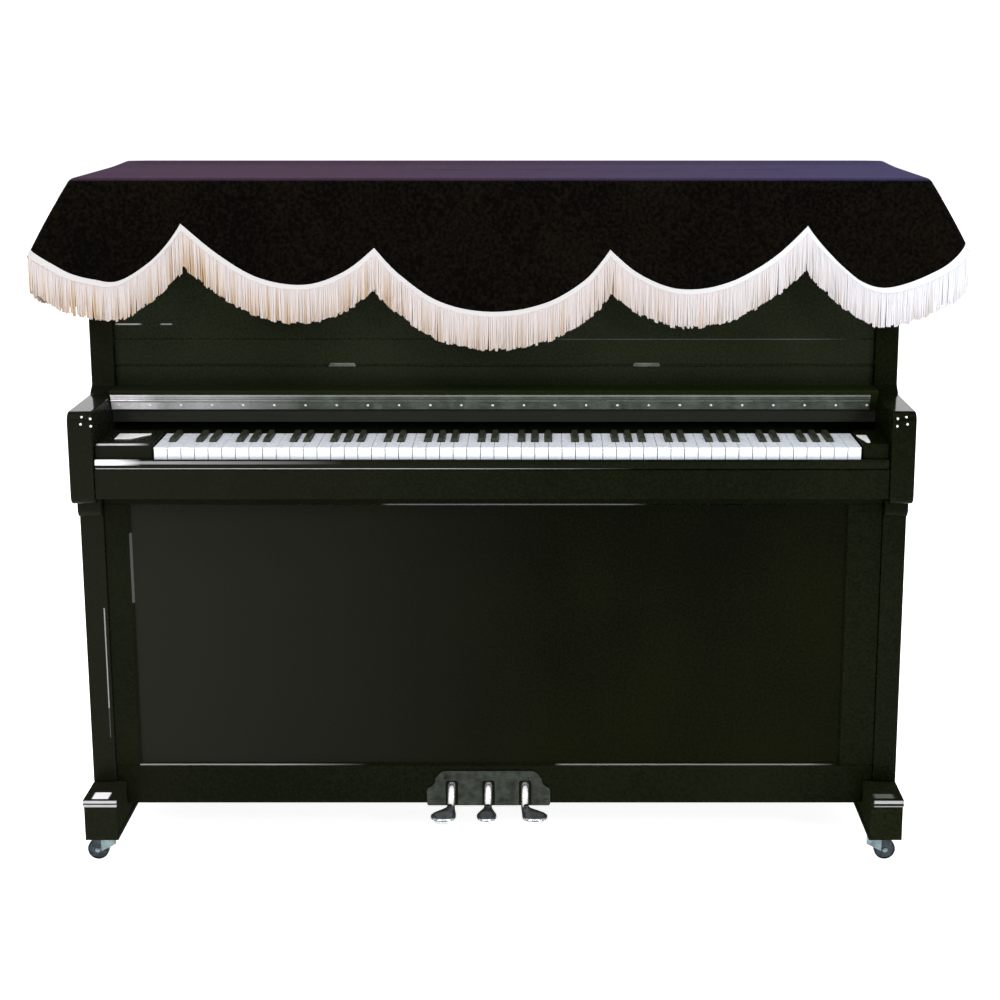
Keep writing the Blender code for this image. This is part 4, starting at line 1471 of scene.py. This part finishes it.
@dataclass
class Keyboard:
    """The keys and the blocks at their ends."""

    whites: int = 52
    pitch: float = 0.0238
    centre: float = 0.027
    top: float = 0.768
    bottom: float = 0.7308
    cover: float = 0.003
    front: float = -0.3305
    back: float = -0.215
    gap: float = 0.0007
    black_width: float = 0.0125
    black_rise: float = 0.0068
    black_front: float = -0.286
    black_slope: float = 0.0045
    black_taper: float = 0.0016
    inner: float = 0.6952
    block_gap: float = 0.003
    block_rise: float = 0.0065
    plate_thick: float = 0.0016
    black_after: tuple[bool, ...] = (True, False, True, True, False, True, True)
    plates: tuple[Outline, ...] = (
        (
            (-0.668, -0.294), (-0.639, -0.294), (-0.611, -0.258),
            (-0.611, -0.252), (-0.668, -0.252),
        ),
        (
            (0.656, -0.322), (0.662, -0.322), (0.664, -0.3),
            (0.665, -0.264), (0.647, -0.264), (0.6475, -0.276),
        ),
    )

    def __post_init__(self) -> None:
        """Works out where the keys begin."""
        self.half = self.whites * self.pitch / 2
        self.start = self.centre - self.half

    def has_black(self, i: int) -> bool:
        """Whether a black key stands between white key i and the next."""
        return 0 <= i < self.whites - 1 and self.black_after[i % len(self.black_after)]

    def white_outline(self, i: int) -> list[Flat]:
        """White key i in plan, narrowed beside its black keys."""
        left = self.start + i * self.pitch + self.gap / 2
        right = left + self.pitch - self.gap
        room = self.black_width / 2 + self.gap
        step = self.black_front - self.gap
        points = [(left, self.front), (right, self.front)]
        if self.has_black(i):
            points += [(right, step), (right + self.gap / 2 - room, step)]
        points.append((points[-1][0], self.back))
        tail = left - self.gap / 2 + room if self.has_black(i - 1) else left
        points.append((tail, self.back))
        if self.has_black(i - 1):
            points += [(tail, step), (left, step)]
        return points

    def build_whites(self) -> None:
        """Builds the white keys: a thin covering over each key's stick."""
        form = Form()
        stick_y = (self.front + 0.0012, self.black_front - 0.002)
        stick_z = (self.bottom, self.top - self.cover - 0.0001)
        for i in range(self.whites):
            outline = self.white_outline(i)
            form.drawn(Axis.Z, outline, self.top - self.cover, self.top)
            form.box((outline[0][0] + 0.0002, outline[1][0] - 0.0002), stick_y, stick_z)
        form.piece("white_keyboard", WHITE_KEY, "white_keys", edge=0.0006)

    def build_blacks(self) -> None:
        """Builds the black keys, each narrowing upwards with a sloping front."""
        form = Form()
        foot, back = self.black_width / 2, self.back + 0.001
        levels = (
            (self.top - 0.004, foot, 0.0),
            (self.top, foot, 0.0),
            (self.top + self.black_rise, foot - self.black_taper, self.black_slope),
        )
        for i in filter(self.has_black, range(self.whites)):
            x = self.start + (i + 1) * self.pitch
            rings = []
            for z, half, slope in levels:
                front = self.black_front + slope
                corners = ((-half, front), (half, front), (half, back), (-half, back))
                rings.append([Vector((x + dx, y, z)) for dx, y in corners])
            form.loft(rings)
        form.piece("black_keyboard", BLACK_KEY, "black_keys", edge=0.0014, steps=3)

    def build_blocks(self) -> None:
        """Builds the blocks at the two ends of the keys, with the fallboard's pivot plates."""
        half = self.half + self.block_gap
        high = self.top + self.block_rise
        ends = {
            "left": (-self.inner, self.centre - half),
            "right": (self.centre + half, self.inner),
        }
        for name, x in ends.items():
            form = Form().box(x, (self.front, self.back), (self.bottom, high))
            form.piece(f"end_block_{name}", BLOCK, f"key_block_{name}", edge=0.003, steps=3)
        form = Form()
        for outline in self.plates:
            form.drawn(Axis.Z, outline, high, high + self.plate_thick)
        # The pivot plates are painted near white, a painted highlight.
        form.piece("pivot_plates", BRIGHT, edge=0.0006)

    def build(self) -> None:
        """Builds the keyboard."""
        self.build_whites()
        self.build_blacks()
        self.build_blocks()


class Pedal(NamedTuple):
    """One pedal: its name, its place counted from the middle, its pad's turn and half width."""

    name: str
    place: int
    lean: float
    pad: float


@dataclass
class Pedals:
    """The stepped plate and the three pedals that come through it.

    half_plate is the plate's right half, and screws are the heads in it, about its foot's middle.
    A pedal widens from its bar to its pad and rounds off at the tip, by share of its length.
    """

    centre: float = -0.0114
    plate_front: float = -0.2893
    plate_foot: float = 0.081
    plate_thick: float = 0.003
    pitch: float = 0.0675
    top: float = 0.1235
    tip: float = -0.362
    sink: float = 0.043
    droop: float = 1.25
    bar: float = 0.0072
    thick: float = 0.0042
    pad_thicker: float = 0.0034
    tip_thick: float = 0.35
    squareness: float = 0.85
    pad_from: float = 0.5
    pad_run: float = 0.24
    round_from: float = 0.74
    least: float = 0.0025
    boss_share: float = 0.55
    boss_way: Solid = (0.0, -0.64, 0.77)
    steps: int = 26
    sides: int = 20
    slot_width: float = 0.0115
    slot_top: float = 0.13
    slot_round: float = 0.004
    pedals: tuple[Pedal, ...] = (
        Pedal("left", -1, -0.013, 0.0235),
        Pedal("middle", 0, -0.002, 0.0185),
        Pedal("right", 1, 0.018, 0.0235),
    )
    half_plate: Outline = (
        (0.1115, 0.0), (0.1135, 0.003), (0.114, 0.028), (0.112, 0.034), (0.104, 0.039),
        (0.0995, 0.045), (0.098, 0.053), (0.09, 0.063), (0.084, 0.067), (0.08, 0.068),
    )
    screws: Outline = (
        (-0.105, 0.011), (-0.037, 0.01), (0.037, 0.01), (0.107, 0.011),
        (-0.078, 0.054), (0.076, 0.054),
    )

    def plate(self) -> None:
        """Builds the plate, with black shapes on it as painted shade for the pedals' slots, and its
        screws.
        """
        front = self.plate_front
        outline = [*self.half_plate, *((-x, z) for x, z in reversed(self.half_plate))]
        points = [(self.centre + x, self.plate_foot + z) for x, z in outline]
        form = Form().drawn(Axis.Y, points, front, front + self.plate_thick)
        form.piece("pedal_guard", IRON, "pedal_plate", edge=0.0009)
        # Painted shade: black lacquer shapes on the unbroken plate stand in for the dark openings
        # of the slots.
        form = Form()
        foot, high = self.plate_foot + 0.002, self.slot_top - self.slot_round
        half = self.slot_width - self.slot_round
        for pedal in self.pedals:
            x = self.centre + pedal.place * self.pitch
            opening = [
                *arc((x + half, high), self.slot_round, 0, 90, 4),
                *arc((x - half, high), self.slot_round, 90, 180, 4),
                *((x - self.slot_width, foot), (x + self.slot_width, foot)),
            ]
            form.drawn(Axis.Y, opening, front - 0.0004, front + 0.001)
        form.piece("pedal_slot_shade", LACQUER, slot=Slot.IRON)
        form = Form()
        dome = [(0.0, 0.0), (0.0, 0.0038), (0.001, 0.0033), (0.0018, 0.0018), (0.0021, 0.0)]
        for x, z in self.screws:
            form.turned(Vector((self.centre + x, front, self.plate_foot + z)), FRONT, dome, 14)
        form.piece("guard_screws", STEEL, slot=Slot.CHROME)

    def ring(self, pedal: Pedal, share: float) -> list[Vector]:
        """The pedal's outline across itself at a share of its length from the plate."""
        pad = smooth((share - self.pad_from) / self.pad_run)
        rounded = max((share - self.round_from) / (1 - self.round_from), 0.0)
        blunt = math.sqrt(max(1 - rounded**2, self.least))
        half = (self.bar + (pedal.pad - self.bar) * pad) * blunt
        thick = self.thick + self.pad_thicker * pad
        thick *= self.tip_thick + (1 - self.tip_thick) * blunt
        x = self.centre + pedal.place * self.pitch + pedal.lean * pad
        y = self.plate_front - 0.0003 + (self.tip - self.plate_front) * share
        z = self.top - self.sink * math.sin(math.pi / 2 * share) ** self.droop
        found = []
        for k in range(self.sides):
            angle = 2 * math.pi * k / self.sides
            across = math.cos(angle)
            side = half * math.copysign(abs(across) ** self.squareness, across)
            found.append(Vector((x + side, y, z + thick * math.sin(angle))))
        return found

    def build(self) -> None:
        """Builds the plate and the pedals: each bar curves down and widens to a domed pad."""
        self.plate()
        bosses = Form()
        dome = [(-0.002, 0.0), (-0.002, 0.0048), (0.0008, 0.0046), (0.0022, 0.003), (0.0028, 0.0)]
        for pedal in self.pedals:
            form = Form().loft([self.ring(pedal, i / self.steps) for i in range(self.steps + 1)])
            form.piece(f"pedal_bar_{pedal.name}", CHROME, f"pedal_{pedal.name}", sharp=60.0)
            crown = self.ring(pedal, self.boss_share)[self.sides // 4]
            bosses.turned(crown, Vector(self.boss_way), dome, 18)
        bosses.piece("pedal_bosses", STEEL, slot=Slot.CHROME)


@dataclass
class Casters:
    """Four casters: each a turned wheel in a bent fork under a round swivel plate.

    rim is half of a wheel's profile, by share of its half width and of its radius. arm is the
    swivel arm's outline, inwards from the axle and up from the floor.
    """

    xs: Flat = (-0.722, 0.712)
    ys: Flat = (-0.335, 0.15)
    radius: float = 0.0195
    width: float = 0.014
    under: float = 0.0497
    rim: Outline = (
        (1.0, 0.0), (1.02, 0.2), (0.8, 0.46), (0.62, 0.6), (0.7, 0.84), (0.98, 0.93), (0.7, 1.0),
    )
    arm: Outline = (
        (0.007, 0.018), (0.026, 0.0275), (0.0345, 0.0325), (0.0345, 0.049), (0.007, 0.049),
    )

    def wheel(self, name: str, x: float, y: float) -> None:
        """Builds one wheel, with a domed hub inside its tread."""
        rim = [(self.width / 2 * run, self.radius * out) for run, out in self.rim]
        profile = [(-run, out) for run, out in rim] + rim[::-1]
        form = Form().turned(Vector((x, y, self.radius)), Vector((0, 1, 0)), profile, 40)
        form.piece(f"wheel_{name}", STEEL, f"caster_wheel_{name}", sharp=35.0)

    def fork(self, name: str, x: float, y: float) -> None:
        """Builds one fork: two cheeks on a bridge under the swivel plate, with the swivel arm."""
        half, high = self.width / 2, self.under - 0.004
        cheek = [(x - 0.008, high), (x - 0.007, 0.02), *arc((x, 0.0185), 0.007, 170, 370, 10)]
        cheek += [(x + 0.007, 0.02), (x + 0.008, high)]
        form = Form()
        for way in (-1, 1):
            sides = sorted((y + way * (half + 0.0003), y + way * (half + 0.0022)))
            form.drawn(Axis.Y, cheek, *sides)
        deep = (y - half - 0.0026, y + half + 0.0026)
        form.box((x - 0.0085, x + 0.0085), deep, (high - 0.0012, high + 0.0018))
        plate = Vector((x, y, self.under - 0.0024))
        form.turned(plate, Vector((0, 0, 1)), rod(0.0022, 0.0125), 28)
        form.piece(f"fork_{name}", STEEL, f"caster_fork_{name}", sharp=35.0)
        inward = -1 if x > 0 else 1
        arm = [(x + inward * along, z) for along, z in self.arm]
        form = Form().drawn(Axis.Y, arm, y - half - 0.0044, y - half - 0.0022)
        cap = [(0.0, 0.0), (0.0, 0.0052), (0.0012, 0.0046), (0.0022, 0.0024), (0.0026, 0.0)]
        form.turned(Vector((x, y - half - 0.002, self.radius)), FRONT, cap, 16)
        form.piece(f"swivel_arm_{name}", CAST, edge=0.0007)

    def build(self) -> None:
        """Builds the casters."""
        for x_name, x in zip(("left", "right"), self.xs):
            for y_name, y in zip(("front", "back"), self.ys):
                self.wheel(f"{x_name}_{y_name}", x, y)
                self.fork(f"{x_name}_{y_name}", x, y)


# ---- the studio ----


class Softbox(NamedTuple):
    """A soft rectangular light."""

    name: str
    at: Solid
    aim: Solid
    size: Flat
    watts: float
    color: Solid = (1.0, 1.0, 1.0)

    def build(self) -> None:
        """Hangs the light."""
        light = bpy.data.lights.new(self.name, "AREA")
        light.shape = "RECTANGLE"
        light.size, light.size_y = self.size
        light.energy = self.watts
        light.color = self.color
        made = placed(self.name, light)
        made.location = self.at
        way = Vector(self.aim) - Vector(self.at)
        made.rotation_euler = way.to_track_quat("-Z", "Y").to_euler()


@dataclass
class Studio:
    """A pale floor, a pale surround, soft lights and the camera."""

    eye: Solid = (0.0879, -3.3327, 1.4548)
    pitch_down: float = 11.338
    sensor: float = 36.0
    lens: float = 63.47
    shift: Flat = (-0.0424, -0.1)
    surround: float = 1.05
    front_dim: float = 0.16
    floor_glow: float = 0.9
    lights: tuple[Softbox, ...] = (
        Softbox("key_light", (-2.4, -3.0, 3.0), (0, 0, 0.9), (1.2, 1.0), 58.0, (1.0, 0.95, 0.9)),
        Softbox("fill_light", (2.6, -3.0, 2.4), (0, 0, 0.8), (1.2, 1.2), 70.0, (0.9, 0.94, 1.0)),
        Softbox("strip_light", (0.0, -1.4, 3.2), (0, -0.3, 0.6), (3.2, 0.5), 34.0),
        Softbox("top_light", (0.0, 0.9, 3.4), (0, 0, 1.0), (3.0, 1.2), 30.0),
    )

    def floor(self) -> None:
        """Lays the floor."""
        data = Form().box((-14.0, 14.0), (-9.0, 14.0), (-0.02, 0.0)).data("studio_floor")
        graph = Graph(
            bpy.data.materials.new("pale_floor"),
            Roughness=0.8,
            Specular_IOR_Level=0.1,
            Emission_Color=(1, 1, 1, 1),
            Emission_Strength=self.floor_glow,
        )
        speck = graph.noise(graph.place(), 3.0, 3.0)
        graph.feed("Base Color", graph.mix(speck, (0.9, 0.9, 0.9, 1), (0.94, 0.94, 0.94, 1)))
        data.materials.append(graph.owner)
        placed("studio_floor", data)

    def world(self) -> None:
        """Sets an even pale surround, which lights the front less than it does the rest."""
        world = bpy.data.worlds.new("studio")
        bpy.context.scene.world = world
        graph = Graph(world, "Background", Color=(1, 1, 1, 1))
        back = graph.parts(graph.place("Generated"))[1]
        dim = graph.spread(back, -0.7, 0.1, self.front_dim, self.surround)
        seen = graph.node("LightPath", out="Is Camera Ray")
        graph.feed("Strength", graph.node("Mix", {0: seen, 2: dim, 3: self.surround}))

    def camera(self) -> None:
        """Sets up the camera."""
        lens = bpy.data.cameras.new("camera")
        lens.sensor_width = self.sensor
        lens.lens = self.lens
        lens.shift_x, lens.shift_y = self.shift
        made = placed("camera", lens)
        made.location = MIDDLE + Vector(self.eye)
        made.rotation_euler = (math.radians(90 - self.pitch_down), 0.0, 0.0)
        bpy.context.scene.camera = made

    def build(self) -> None:
        """Builds the studio."""
        self.camera()
        self.floor()
        self.world()
        for light in self.lights:
            light.build()
        bpy.context.scene.view_settings.view_transform = "Standard"


def main() -> None:
    """Builds the studio, the piano and its cover."""
    logging.basicConfig(level=logging.INFO, format="%(message)s", stream=sys.stdout)
    Studio().build()
    shape = CoverShape()
    maker = Cloth(shape)
    cloth = maker.build()
    trimming = Trimming(shape).build()
    maker.flat()
    shape.flat_area()
    for part in (Case(), Fallboard(), Keyboard(), Pedals(), Casters()):
        part.build()


if __name__ == "__main__":
    main()
